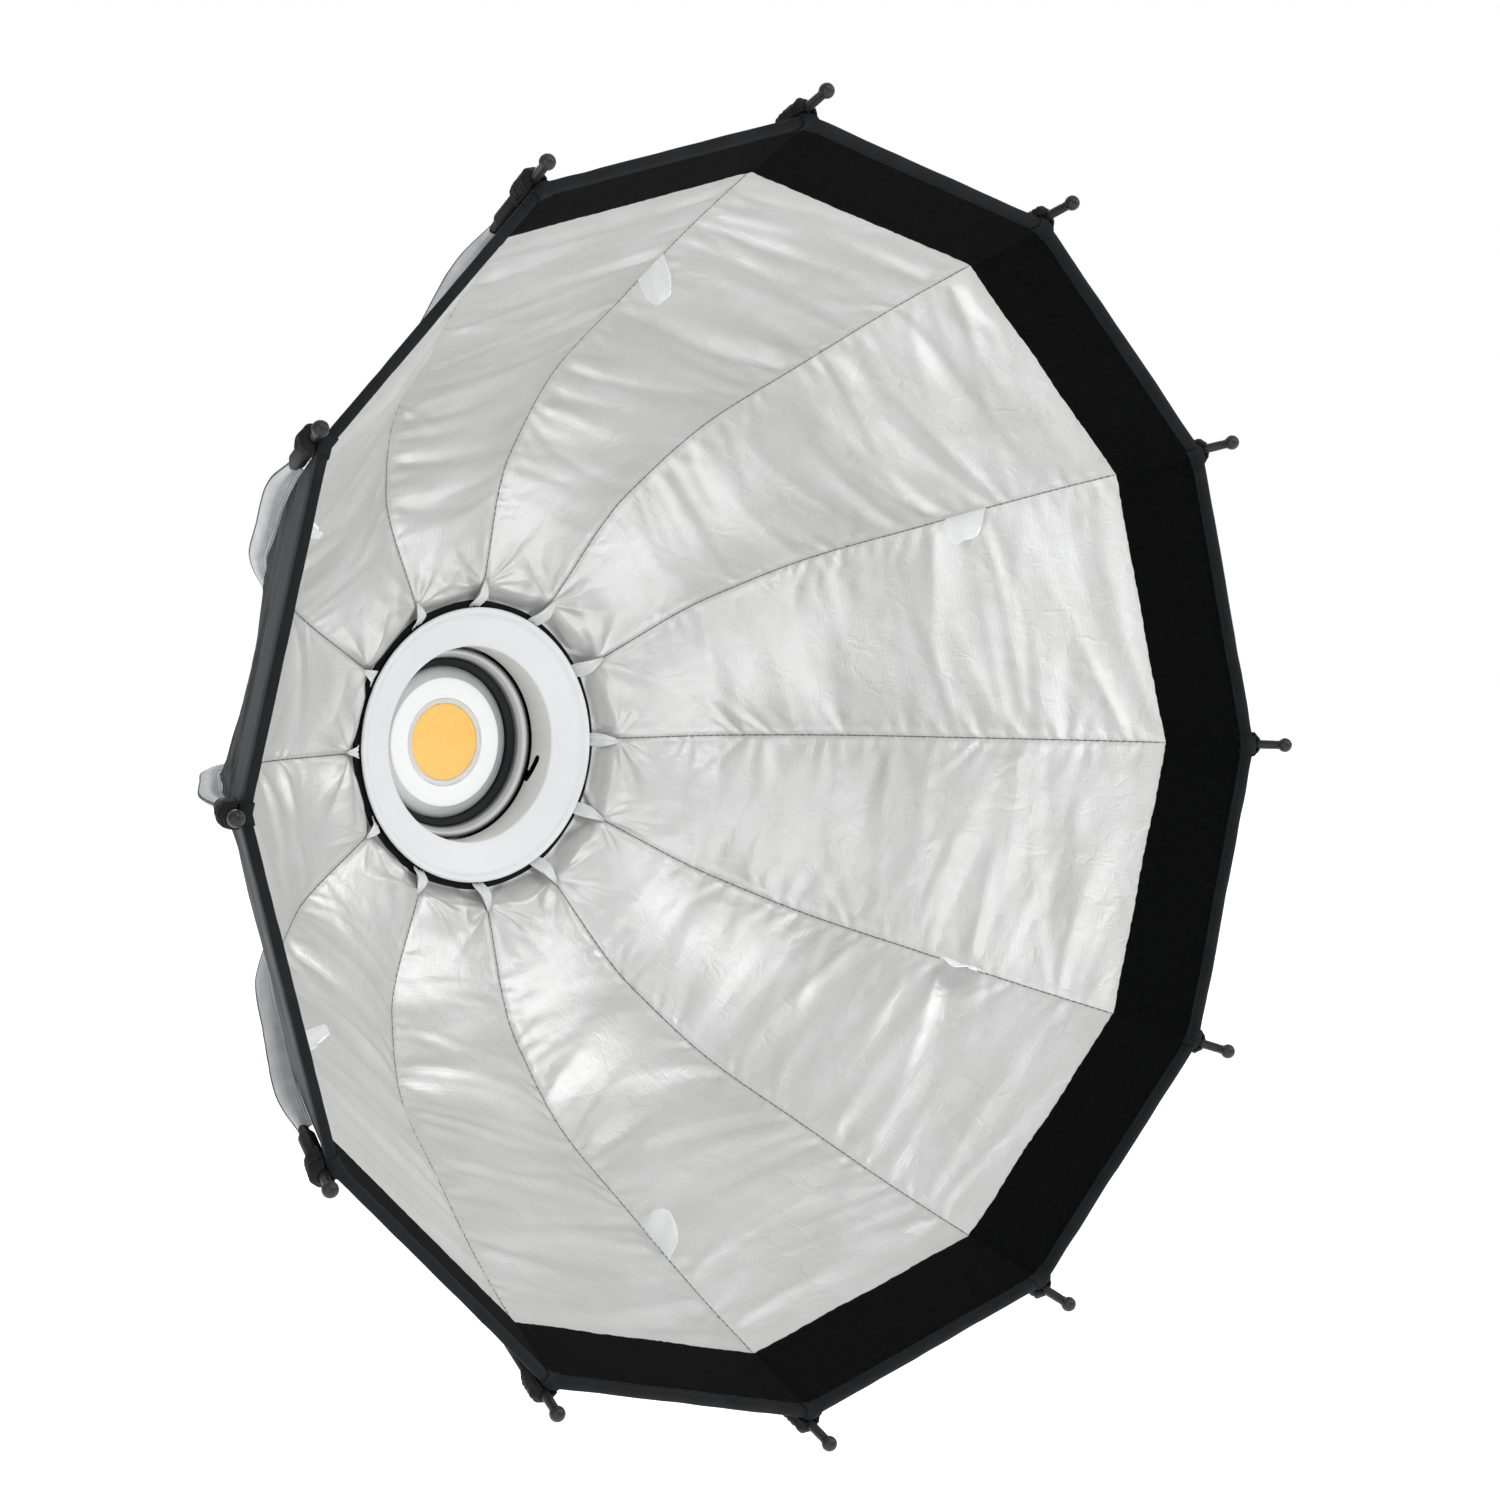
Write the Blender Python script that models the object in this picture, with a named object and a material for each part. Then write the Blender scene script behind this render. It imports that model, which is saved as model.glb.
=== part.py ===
"""Twelve-sided folding softbox for a studio lamp.

Frame: metres, +Z up. The optical axis is Y, the mouth looks to -Y, and the origin is the centre
of the rear seating face, where the softbox sits on its lamp. A point at radius r and azimuth a
is (r cos a, y, r sin a), and rod 1 lies at azimuth 0.
"""

import math

import bmesh
import bpy
from mathutils import Euler, Matrix, Vector

# ---- driving dimensions, metres and degrees ----
SIDES = 12
STEP = 360 / SIDES
GAP = 0.0003                      # between neighbouring pieces

TIP_RADIUS = 0.2860               # centres of the rod balls, from the axis
TIP_Y = -0.2960
TIP_SLOPE = 24.8                  # last stretch of a rod, degrees from the axis
BALL_RADIUS = 0.0034
STUB_RADIUS = 0.0021
FERRULE_RADIUS = 0.0031
FERRULE_START, FERRULE_END = 0.0520, 0.0300     # back along the rod from the ball's centre
ROD_RADIUS = 0.00125
ROD_STANDOFFS = (0.0055, 0.0055, 0.0055, 0.0063, 0.0072)   # rod centre behind SEAM[2] to SEAM[6]

HINGE_RADIUS, HINGE_Y = 0.0750, -0.0200
ROD_FOLD = 42                     # degrees from open to folded
LEVER = 0.0120
WIRE_RADIUS, WIRE_HOLE_RADIUS = 0.0014, 0.0019
WIRE_SEGMENTS = 48
ROOT_HALF_WIDTH = 0.0035

# Seam of the lining in its meridian plane, from the hub ring to the hem: (radius, y)
SEAM = [
    (0.0709, -0.0406), (0.0944, -0.0478), (0.1230, -0.0563), (0.1430, -0.0681),
    (0.1773, -0.1015), (0.2074, -0.1524), (0.2402, -0.2108), (0.2755, -0.2840),
]
FABRIC = 0.0009
BAND_WIDTH = 0.0424
BAND_THICKNESS = 0.0008
HEM_THICKNESS = 0.0006
HEM_OUTSIDE, HEM_INSIDE = 0.0100, 0.0040

RING_SEGMENTS = 36
BORE_RADIUS = 0.0474
SLOT_RADIUS = 0.0483
# The slanted locking slot through the bore wall, open at its rear edge: two legs, each from one
# (y, azimuth) to another, and its half width
SLOT_LEGS = (
    ((-0.0160, -24.0), (-0.0203, -12.2), 0.0019),
    ((-0.0142, -23.6), (-0.0142, -20.8), 0.0016),
)
SLOT_CUT_HALF_DEPTH = 0.004
LAMP_REAR = 0.0090


# ---- small helpers ----
def point(radius, y, azimuth=0.0):
    a = math.radians(azimuth)
    return Vector((radius * math.cos(a), y, radius * math.sin(a)))


def clear_scene():
    for thing in list(bpy.data.objects):
        bpy.data.objects.remove(thing)


def material(name, colour, roughness, metallic=0.0):
    found = bpy.data.materials.get(name)
    if found:
        return found
    made = bpy.data.materials.new(name)
    made.use_nodes = True
    shader = made.node_tree.nodes["Principled BSDF"]
    shader.inputs["Base Color"].default_value = (*colour, 1)
    shader.inputs["Roughness"].default_value = roughness
    shader.inputs["Metallic"].default_value = metallic
    made.diffuse_color = (*colour, 1)
    return made


def add_object(name, mesh, look, parent=None, smooth=True):
    made = bpy.data.objects.new(name, mesh)
    bpy.context.scene.collection.objects.link(made)
    if not mesh.materials:
        mesh.materials.append(look)
    if smooth:
        mesh.shade_smooth()
        mesh.set_sharp_from_angle(angle=math.radians(35))
    made.parent = parent
    return made


def finish_mesh(bm, name):
    bmesh.ops.recalc_face_normals(bm, faces=bm.faces)
    mesh = bpy.data.meshes.new(name)
    bm.to_mesh(mesh)
    bm.free()
    return mesh


def turned(name, outline, segments=RING_SEGMENTS, phase=0.0):
    """A ring turned about Y from a closed outline of (radius, y).

    An outline that begins and ends on the axis makes a solid disc or pin instead."""
    bm = bmesh.new()
    on_axis = outline[0][0] == 0
    rings = []
    for radius, y in outline:
        if radius == 0:
            rings.append([bm.verts.new((0, y, 0))] * segments)
        else:
            turns = [phase + 360 * i / segments for i in range(segments)]
            rings.append([bm.verts.new(point(radius, y, t)) for t in turns])
    pairs = list(zip(rings, rings[1:])) + ([] if on_axis else [(rings[-1], rings[0])])
    for first, second in pairs:
        for i in range(segments):
            k = (i + 1) % segments
            corners = [first[i], first[k], second[k], second[i]]
            unique = list(dict.fromkeys(corners))
            if len(unique) > 2:
                bm.faces.new(unique)
    return finish_mesh(bm, name)


def plate(name, outline, low, high):
    """A flat outline of (x, y) given thickness along Z, from low to high."""
    bm = bmesh.new()
    bottom = [bm.verts.new((x, y, low)) for x, y in outline]
    top = [bm.verts.new((x, y, high)) for x, y in outline]
    bm.faces.new(bottom)
    bm.faces.new(top)
    for i in range(len(outline)):
        k = (i + 1) % len(outline)
        bm.faces.new((bottom[i], bottom[k], top[k], top[i]))
    return finish_mesh(bm, name)


def boolean(target, tool, operation):
    """Joins or cuts target with tool and removes the tool."""
    cut = target.modifiers.new(operation.lower(), "BOOLEAN")
    cut.operation = operation
    cut.solver = "EXACT"
    cut.object = tool
    bpy.context.view_layer.update()
    graph = bpy.context.evaluated_depsgraph_get()
    result = bpy.data.meshes.new_from_object(target.evaluated_get(graph))
    target.modifiers.clear()
    target.data = result
    bpy.data.objects.remove(tool)


def arc(centre, radius, start, end, count):
    """Points on an arc, from start to end in degrees."""
    turns = [math.radians(start + (end - start) * i / (count - 1)) for i in range(count)]
    return [(centre[0] + radius * math.cos(t), centre[1] + radius * math.sin(t)) for t in turns]


# ---- curves in the meridian plane ----
def spline(points, steps):
    """A smooth curve through points, with the given number of steps in each span."""
    ends = [points[0] * 2 - points[1]] + points + [points[-1] * 2 - points[-2]]
    curve = []
    for a, b, c, d in zip(ends, ends[1:], ends[2:], ends[3:]):
        for i in range(steps):
            t = i / steps
            curve.append(0.5 * ((2 * b) + (c - a) * t + (2 * a - 5 * b + 4 * c - d) * t * t
                                + (3 * b - a - 3 * c + d) * t ** 3))
    return curve + [points[-1]]


def at_length(curve, length):
    """The point at that length along a curve, and the direction there."""
    for a, b in zip(curve, curve[1:]):
        span = (b - a).length
        if length <= span + 1e-9:
            return a + (b - a) * (length / span), (b - a).normalized()
        length -= span
    return curve[-1], (curve[-1] - curve[-2]).normalized()


def curve_length(curve):
    return sum((b - a).length for a, b in zip(curve, curve[1:]))


def outward(direction):
    """The normal of a meridian direction, on the side away from the lit inside."""
    return Vector((-direction.y, direction.x))


def seam_stations():
    """Places along the seam that every fabric piece shares: eight to the band, two across it."""
    curve = spline([Vector(p) for p in SEAM], 12)
    total = curve_length(curve)
    inner = total - BAND_WIDTH
    lengths = [inner * i / 8 for i in range(9)] + [inner + BAND_WIDTH / 2, total]
    places = [at_length(curve, s)[0] for s in lengths]
    normals = []
    for i, place in enumerate(places):
        before, after = places[max(i - 1, 0)], places[min(i + 1, len(places) - 1)]
        normals.append(outward((after - before).normalized()))
    return places, normals


def tip_axis():
    """The ball's centre, and the direction from the ball back along the rod."""
    slope = math.radians(TIP_SLOPE)
    return Vector((TIP_RADIUS, TIP_Y)), Vector((-math.sin(slope), math.cos(slope)))


def rod_curve():
    """The rod's centre line, from its hinge to its end inside the ferrule."""
    ball, back = tip_axis()
    hinge = Vector((HINGE_RADIUS, HINGE_Y))
    route = [hinge]
    seam = [Vector(p) for p in SEAM]
    for i, standoff in enumerate(ROD_STANDOFFS, 2):
        along = (seam[i + 1] - seam[i - 1]).normalized()
        route.append(seam[i] + outward(along) * standoff)
    straight = (route[1] - hinge).normalized()
    route.insert(1, hinge + straight * 0.020)
    route.append(ball + back * (FERRULE_START + 0.004))
    route.append(ball + back * (FERRULE_START - 0.012))
    return [route[0]] + spline(route[1:], 2)


# ---- hub ----
def make_reflector_ring(white):
    outline = [
        (0.0648, -0.0379), (0.0660, -0.0376), (0.0665, -0.0368), (0.0662, -0.0360),
        (0.0652, -0.0357), (0.0494, -0.0289), (0.0492, -0.0143), (BORE_RADIUS, -0.0143),
        (BORE_RADIUS, -0.0309), (0.0480, -0.0315),
    ]
    ring = add_object("reflector_ring", turned("reflector_ring", outline), white)
    for low, high, half_width in SLOT_LEGS:
        first, last = point(SLOT_RADIUS, *low), point(SLOT_RADIUS, *high)
        run, out = (last - first), point(1, 0, (low[1] + high[1]) / 2)
        half = Vector((run.length / 2 + half_width, half_width, SLOT_CUT_HALF_DEPTH))
        bm = bmesh.new()
        bmesh.ops.create_cube(bm, size=2)
        bmesh.ops.scale(bm, vec=half, verts=bm.verts)
        cutter = add_object("slot_cutter", finish_mesh(bm, "slot_cutter"), white, smooth=False)
        x_axis = run.normalized()
        z_axis = (out - x_axis * out.dot(x_axis)).normalized()
        y_axis = z_axis.cross(x_axis)
        cutter.matrix_world = matrix_from(x_axis, y_axis, z_axis, (first + last) / 2)
        boolean(ring, cutter, "DIFFERENCE")
    return ring


def matrix_from(x_axis, y_axis, z_axis, origin):
    turned_to = Matrix((x_axis, y_axis, z_axis)).transposed().to_4x4()
    turned_to.translation = origin
    return turned_to


def ear_boxes():
    """The twelve pairs of ears that hold the hinge wire, as one mesh of boxes."""
    bm = bmesh.new()
    inner, outer = ROOT_HALF_WIDTH + 0.0012, ROOT_HALF_WIDTH + 0.0037
    for k in range(SIDES):
        for side in (-1, 1):
            low = Vector((0.0660, -0.0304, min(side * inner, side * outer)))
            high = Vector((0.0793, -0.0162, max(side * inner, side * outer)))
            box = bmesh.ops.create_cube(bm, size=1)["verts"]
            bmesh.ops.scale(bm, vec=high - low, verts=box)
            bmesh.ops.translate(bm, vec=(low + high) / 2, verts=box)
            turn = Euler((0, -math.radians(k * STEP), 0)).to_matrix()
            bmesh.ops.rotate(bm, cent=(0, 0, 0), matrix=turn, verts=box)
    return finish_mesh(bm, "ears")


def wire_outline(radius, count):
    """Section of the hinge wire, or of its channel, with the chord's middle at the hinge."""
    half = 180 / WIRE_SEGMENTS
    centre = (HINGE_RADIUS / math.cos(math.radians(half)), HINGE_Y)
    return arc(centre, radius, 0, 360 * (count - 1) / count, count)


def make_carrier(black):
    outline = [
        (0.0496, -0.0284), (0.0543, -0.0306), (0.0700, -0.0306), (0.0700, -0.0284),
        (0.0541, -0.0284), (0.0541, -0.0033), (0.0496, -0.0033),
    ]
    carrier = add_object("hub_carrier", turned("hub_carrier", outline), black)
    boolean(carrier, add_object("ears", ear_boxes(), black, smooth=False), "UNION")
    half = 180 / WIRE_SEGMENTS
    channel = turned("channel", wire_outline(WIRE_HOLE_RADIUS, 8), WIRE_SEGMENTS, half)
    boolean(carrier, add_object("channel", channel, black), "DIFFERENCE")
    return carrier


def make_hinge_wire(steel):
    half = 180 / WIRE_SEGMENTS
    add_object("hinge_wire", turned("hinge_wire", wire_outline(WIRE_RADIUS, 6),
                                    WIRE_SEGMENTS, half), steel)


def lug_blocks():
    """The three bayonet lugs, as one mesh of curved blocks."""
    bm = bmesh.new()
    half_angle, pieces = 16, 4
    for centre in (90, 210, 330):
        rings = []
        for i in range(pieces + 1):
            turn = centre - half_angle + 2 * half_angle * i / pieces
            corners = [(0.0496, 0.0056), (0.0534, 0.0056), (0.0534, 0.0088), (0.0496, 0.0088)]
            rings.append([bm.verts.new(point(r, y, turn)) for r, y in corners])
        for a, b in zip(rings, rings[1:]):
            for i in range(4):
                k = (i + 1) % 4
                bm.faces.new((a[i], a[k], b[k], b[i]))
        bm.faces.new(rings[0])
        bm.faces.new(rings[-1])
    return finish_mesh(bm, "lugs")


def make_bayonet_insert(steel):
    outline = [
        (0.0482, -0.0030), (0.0620, -0.0030), (0.0620, 0.0), (0.0502, 0.0),
        (0.0502, LAMP_REAR), (0.0482, LAMP_REAR),
    ]
    insert = add_object("bayonet_insert", turned("bayonet_insert", outline), steel)
    boolean(insert, add_object("lugs", lug_blocks(), steel, smooth=False), "UNION")


def make_collar(black):
    """The sliding collar: a groove for the twelve levers, and a rim to pull."""
    outline = [
        (0.0545, -0.0278), (0.0643, -0.0278), (0.0643, -0.0263), (0.0605, -0.0263),
        (0.0605, -0.0223), (0.0643, -0.0223), (0.0643, -0.0208), (0.0580, -0.0208),
        (0.0580, -0.0142), (0.0655, -0.0142), (0.0655, -0.0122), (0.0545, -0.0122),
    ]
    add_object("lock_collar", turned("lock_collar", outline), black)


# ---- lamp front, as fitted ----
def make_lamp(silver, black, white, yellow):
    mount_ring = [
        (0.0470, -0.0129), (0.0464, -0.0138), (0.0450, -0.0136), (0.0432, -0.0116),
        (0.0412, -0.0092), (0.0412, LAMP_REAR), (0.0470, LAMP_REAR),
    ]
    add_object("lamp_mount_ring", turned("lamp_mount_ring", mount_ring), silver)
    baffle = [(0.0409, -0.0086), (0.0409, LAMP_REAR), (0.0375, LAMP_REAR), (0.0375, -0.0074)]
    add_object("lamp_baffle_ring", turned("lamp_baffle_ring", baffle), black)
    face = [
        (0, -0.0066), (0.0218, -0.0066), (0.0218, -0.0083), (0.0315, -0.0083),
        (0.0372, -0.0060), (0.0372, LAMP_REAR), (0, LAMP_REAR),
    ]
    add_object("lamp_face", turned("lamp_face", face), white)
    led = [(0, -0.0076), (0.0187, -0.0076), (0.0192, -0.0080), (0.0214, -0.0080),
           (0.0214, -0.0069), (0, -0.0069)]
    add_object("led_emitter", turned("led_emitter", led), yellow)


# ---- rods ----
def root_outline():
    """Side view of a rod's root about the hinge: lever finger, eye, and rod socket."""
    open_lever = 180 + ROD_FOLD / 2
    route = rod_curve()
    run = math.degrees(math.atan2(route[1].y - route[0].y, route[1].x - route[0].x))
    finger_at = (LEVER * math.cos(math.radians(open_lever)),
                 LEVER * math.sin(math.radians(open_lever)))
    socket_at = (0.011 * math.cos(math.radians(run)), 0.011 * math.sin(math.radians(run)))
    eye_radius = 0.0038
    outline = arc(finger_at, 0.0014, open_lever - 90, open_lever + 90, 5)
    outline += arc((0, 0), eye_radius, open_lever + 35, run + 360 - 35, 3)
    outline += arc(socket_at, 0.0024, run - 90, run + 90, 4)
    outline += arc((0, 0), eye_radius, run + 35, open_lever - 35, 4)
    return outline


def rod_mesh(steel):
    """Root, lever and spring-steel rod in one, about its hinge, in the plane of azimuth 0."""
    root = add_object("root", plate("root", root_outline(), -ROOT_HALF_WIDTH, ROOT_HALF_WIDTH),
                      steel, smooth=False)
    hinge = Vector((HINGE_RADIUS, HINGE_Y))
    route = [p - hinge for p in rod_curve()]
    route[0] = route[1] * 0.35
    bm = bmesh.new()
    sides, rings = 6, []
    for i, place in enumerate(route):
        before, after = route[max(i - 1, 0)], route[min(i + 1, len(route) - 1)]
        side = outward((after - before).normalized())
        ring = []
        for j in range(sides):
            turn = math.radians(360 * j / sides)
            in_plane = place + side * (ROD_RADIUS * math.cos(turn))
            ring.append(bm.verts.new((in_plane.x, in_plane.y, ROD_RADIUS * math.sin(turn))))
        rings.append(ring)
    for a, b in zip(rings, rings[1:]):
        for j in range(sides):
            k = (j + 1) % sides
            bm.faces.new((a[j], a[k], b[k], b[j]))
    bm.faces.new(rings[0])
    bm.faces.new(rings[-1])
    boolean(root, add_object("tube", finish_mesh(bm, "tube"), steel), "UNION")
    eye = plate("eye", arc((0, 0), WIRE_HOLE_RADIUS, 0, 324, 10), -0.01, 0.01)
    boolean(root, add_object("eye", eye, steel, smooth=False), "DIFFERENCE")
    mesh = root.data
    bpy.data.objects.remove(root)
    return mesh


def tip_mesh():
    """Ferrule, stub and ball, turned about the rod's last stretch, about the rod's hinge."""
    bore, bore_depth = ROD_RADIUS + GAP + 0.0001, FERRULE_START - 0.0125
    outline = [
        (0, bore_depth), (bore, bore_depth), (bore, FERRULE_START),
        (FERRULE_RADIUS, FERRULE_START), (FERRULE_RADIUS, FERRULE_END + 0.001),
        (STUB_RADIUS, FERRULE_END), (STUB_RADIUS, 0.0027),
    ]
    outline += [(BALL_RADIUS * math.cos(math.radians(t)), -BALL_RADIUS * math.sin(math.radians(t)))
                for t in (-25, 10, 40, 68)]
    outline.append((0, -BALL_RADIUS))
    mesh = turned("rod_tip", outline, 8)
    ball, back = tip_axis()
    along = Vector((back.x, back.y, 0))
    side = Vector((back.y, -back.x, 0))
    origin = Vector((ball.x - HINGE_RADIUS, ball.y - HINGE_Y, 0))
    mesh.transform(matrix_from(side, along, side.cross(along), origin))
    return mesh


# ---- fabric ----
def half_gore_mesh(name, side):
    """Half of one fabric panel, from a seam to the middle of the panel, about the rod's hinge.

    side is +1 for the half at greater azimuth than the rod, and -1 for the other."""
    places, normals = seam_stations()
    bm = bmesh.new()
    grid = []
    for place, normal in zip(places, normals):
        row = []
        for lift in (0, FABRIC):
            at = place + normal * lift
            seam, mate = point(at.x, at.y), point(at.x, at.y, side * STEP)
            chord = (mate - seam).length
            edge = 0.0002 / chord
            line = [edge, 0.25, 0.5 - edge]
            row.append([bm.verts.new(seam.lerp(mate, t) - Vector((HINGE_RADIUS, HINGE_Y, 0)))
                        for t in line])
        grid.append(row)
    for a, b in zip(grid, grid[1:]):
        for layer in range(2):
            for j in range(2):
                bm.faces.new((a[layer][j], a[layer][j + 1], b[layer][j + 1], b[layer][j]))
        for j in (0, 2):
            bm.faces.new((a[0][j], b[0][j], b[1][j], a[1][j]))
    for end in (grid[0], grid[-1]):
        for j in range(2):
            bm.faces.new((end[0][j], end[0][j + 1], end[1][j + 1], end[1][j]))
    return finish_mesh(bm, name)


def make_band(black):
    """The loop band sewn inside the mouth."""
    places, normals = seam_stations()
    outer = [p - n * (GAP + 0.0001) for p, n in zip(places[8:], normals[8:])]
    inner = [p - n * (GAP + 0.0001 + BAND_THICKNESS) for p, n in zip(places[8:], normals[8:])]
    outline = [(p.x, p.y) for p in outer] + [(p.x, p.y) for p in reversed(inner)]
    add_object("loop_band", turned("loop_band", outline, SIDES), black, smooth=False)


def make_hem(grey):
    """The binding folded over the edge of the mouth."""
    places, normals = seam_stations()
    rim, normal = places[-1], normals[-1]
    along = Vector((normal.y, -normal.x))
    outside = FABRIC + GAP
    inside = -(2 * GAP + 0.0001 + BAND_THICKNESS)
    lip = GAP + 0.0001
    corners = [
        (-HEM_OUTSIDE, outside), (lip, outside), (lip, inside), (-HEM_INSIDE, inside),
        (-HEM_INSIDE, inside - HEM_THICKNESS), (lip + HEM_THICKNESS, inside - HEM_THICKNESS),
        (lip + HEM_THICKNESS, outside + HEM_THICKNESS), (-HEM_OUTSIDE, outside + HEM_THICKNESS),
    ]
    at = [rim + along * s + normal * n for s, n in corners]
    outline = [(p.x, p.y) for p in at]
    add_object("hem_binding", turned("hem_binding", outline, SIDES), grey, smooth=False)


# ---- assembly ----
def build():
    clear_scene()
    white = material("white_enamel", (0.86, 0.88, 0.88), 0.45)
    black = material("black_nylon", (0.03, 0.03, 0.032), 0.5)
    grey = material("charcoal_binding", (0.07, 0.075, 0.08), 0.8)
    steel = material("spring_steel", (0.35, 0.35, 0.36), 0.3, 1.0)
    silver = material("polished_alloy", (0.72, 0.73, 0.74), 0.2, 1.0)
    satin = material("silver_fabric", (0.74, 0.75, 0.75), 0.5, 0.2)
    loop = material("loop_fabric", (0.012, 0.013, 0.013), 0.95)
    lamp_white = material("lamp_white", (0.92, 0.93, 0.93), 0.5)
    phosphor = material("phosphor", (1.0, 0.6, 0.13), 0.5)

    make_reflector_ring(white)
    make_carrier(black)
    make_hinge_wire(steel)
    make_bayonet_insert(steel)
    make_collar(black)
    make_lamp(silver, black, lamp_white, phosphor)
    make_band(loop)
    make_hem(grey)

    rod, tip = rod_mesh(steel), tip_mesh()
    halves = {"a": half_gore_mesh("half_gore_a", 1), "b": half_gore_mesh("half_gore_b", -1)}
    for k in range(SIDES):
        pivot = bpy.data.objects.new(f"rod_{k + 1:02d}_pivot", None)
        bpy.context.scene.collection.objects.link(pivot)
        pivot.location = point(HINGE_RADIUS, HINGE_Y, k * STEP)
        pivot.rotation_euler = (0, -math.radians(k * STEP), 0)
        add_object(f"rod_{k + 1:02d}", rod, steel, pivot)
        add_object(f"rod_tip_{k + 1:02d}", tip, black, pivot)
        for letter, mesh in halves.items():
            add_object(f"gore_{k + 1:02d}{letter}", mesh, satin, pivot, smooth=False)


build()
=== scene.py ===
import math

import bmesh
import bpy
import numpy as np
from mathutils import Matrix, Vector


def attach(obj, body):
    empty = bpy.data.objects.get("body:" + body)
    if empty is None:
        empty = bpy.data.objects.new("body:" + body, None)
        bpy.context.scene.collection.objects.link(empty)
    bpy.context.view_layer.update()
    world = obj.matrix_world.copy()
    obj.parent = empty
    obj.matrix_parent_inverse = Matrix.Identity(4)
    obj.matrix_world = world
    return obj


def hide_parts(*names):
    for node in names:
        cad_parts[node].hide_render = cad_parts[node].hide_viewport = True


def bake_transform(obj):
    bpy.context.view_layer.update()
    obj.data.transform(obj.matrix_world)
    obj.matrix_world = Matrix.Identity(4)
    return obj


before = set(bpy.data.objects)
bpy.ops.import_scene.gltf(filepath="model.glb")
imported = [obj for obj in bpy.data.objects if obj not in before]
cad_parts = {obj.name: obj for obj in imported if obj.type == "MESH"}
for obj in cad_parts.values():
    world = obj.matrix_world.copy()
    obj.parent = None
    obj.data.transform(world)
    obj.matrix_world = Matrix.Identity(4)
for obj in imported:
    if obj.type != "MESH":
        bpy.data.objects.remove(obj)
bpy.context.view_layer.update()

# ---- dimensions of the part, metres and degrees ----
SIDES, STEP = 12, 30
TIP_RADIUS, TIP_Y, TIP_SLOPE = 0.2860, -0.2960, 24.8
BALL_RADIUS, STUB_RADIUS, FERRULE_RADIUS = 0.0034, 0.0021, 0.0035
FERRULE_START, FERRULE_END = 0.0520, 0.0300
ROD_RADIUS = 0.00125
ROD_STANDOFFS = (0.0055, 0.0055, 0.0055, 0.0063, 0.0072)   # of the rod from seam points 2 to 6
HINGE_RADIUS, HINGE_Y, ROD_FOLD, LEVER = 0.0750, -0.0200, 42, 0.0120
WIRE_RADIUS, WIRE_HOLE_RADIUS, WIRE_SEGMENTS = 0.0014, 0.0019, 48
ROOT_HALF_WIDTH = 0.0035
SEAM = [
    (0.0709, -0.0406), (0.0944, -0.0478), (0.1230, -0.0563), (0.1430, -0.0681),
    (0.1773, -0.1015), (0.2074, -0.1524), (0.2402, -0.2108), (0.2755, -0.2840),
]
FABRIC, BAND_WIDTH, BAND_THICKNESS, HEM_THICKNESS = 0.0009, 0.0424, 0.0008, 0.0006
HEM_OUTSIDE, HEM_INSIDE = 0.0100, 0.0040
BORE_RADIUS, LAMP_REAR = 0.0474, 0.0090
ROUND = 240                       # segments of the turned pieces
MOUTH_SPAN = 0.14                 # length along one side of the mouth, for noise
HALF_ANGLE = math.radians(STEP / 2)
CHORD, SQUEEZE = 2 * math.sin(HALF_ANGLE), math.cos(HALF_ANGLE)


# ---- the seam curve in its meridian plane ----
def spline(points, steps):
    p = np.array(points, float)
    p = np.vstack([2 * p[0] - p[1], p, 2 * p[-1] - p[-2]])
    t = (np.arange(steps) / steps)[:, None]
    spans = [0.5 * (2 * b + (c - a) * t + (2 * a - 5 * b + 4 * c - d) * t ** 2
                    + (3 * b - a - 3 * c + d) * t ** 3)
             for a, b, c, d in zip(p, p[1:], p[2:], p[3:])]
    return np.vstack(spans + [p[-2][None]])


def lengths_of(curve):
    return np.concatenate([[0], np.cumsum(np.linalg.norm(np.diff(curve, axis=0), axis=1))])


SEAM_CURVE = spline(SEAM, 24)
SEAM_LENGTHS = lengths_of(SEAM_CURVE)
SEAM_TOTAL = SEAM_LENGTHS[-1]
BAND_START = SEAM_TOTAL - BAND_WIDTH


def seam_at(s):
    """Radius and y of the lining seam at a length s from the hub."""
    return (np.interp(s, SEAM_LENGTHS, SEAM_CURVE[:, 0]),
            np.interp(s, SEAM_LENGTHS, SEAM_CURVE[:, 1]))


def seam_direction(s, squeeze=1.0):
    """Unit direction along the seam, with radii scaled by squeeze."""
    step = 0.004
    r0, y0 = seam_at(np.clip(s - step, 0, SEAM_TOTAL))
    r1, y1 = seam_at(np.clip(s + step, 0, SEAM_TOTAL))
    dr, dy = (r1 - r0) * squeeze, y1 - y0
    size = np.hypot(dr, dy)
    return dr / size, dy / size


def polar(radius, y, azimuth):
    a = np.radians(azimuth)
    return np.stack(np.broadcast_arrays(radius * np.cos(a), y, radius * np.sin(a)), -1)


def smooth(t):
    t = np.clip(t, 0, 1)
    return t * t * (3 - 2 * t)


# ---- smooth seeded noise ----
def noise(x, y, cell, seed):
    """Smooth noise from -1 to 1, with features about as wide as cell."""
    table = np.random.default_rng(seed).uniform(-1, 1, (64, 64))
    gx, gy = x / cell + 17.3, y / cell + 11.7
    ix, iy = np.floor(gx).astype(int), np.floor(gy).astype(int)
    fx, fy = smooth(gx - ix), smooth(gy - iy)
    a, b = table[ix % 64, iy % 64], table[(ix + 1) % 64, iy % 64]
    c, d = table[ix % 64, (iy + 1) % 64], table[(ix + 1) % 64, (iy + 1) % 64]
    return (a * (1 - fx) + b * fx) * (1 - fy) + (c * (1 - fx) + d * fx) * fy


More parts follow.
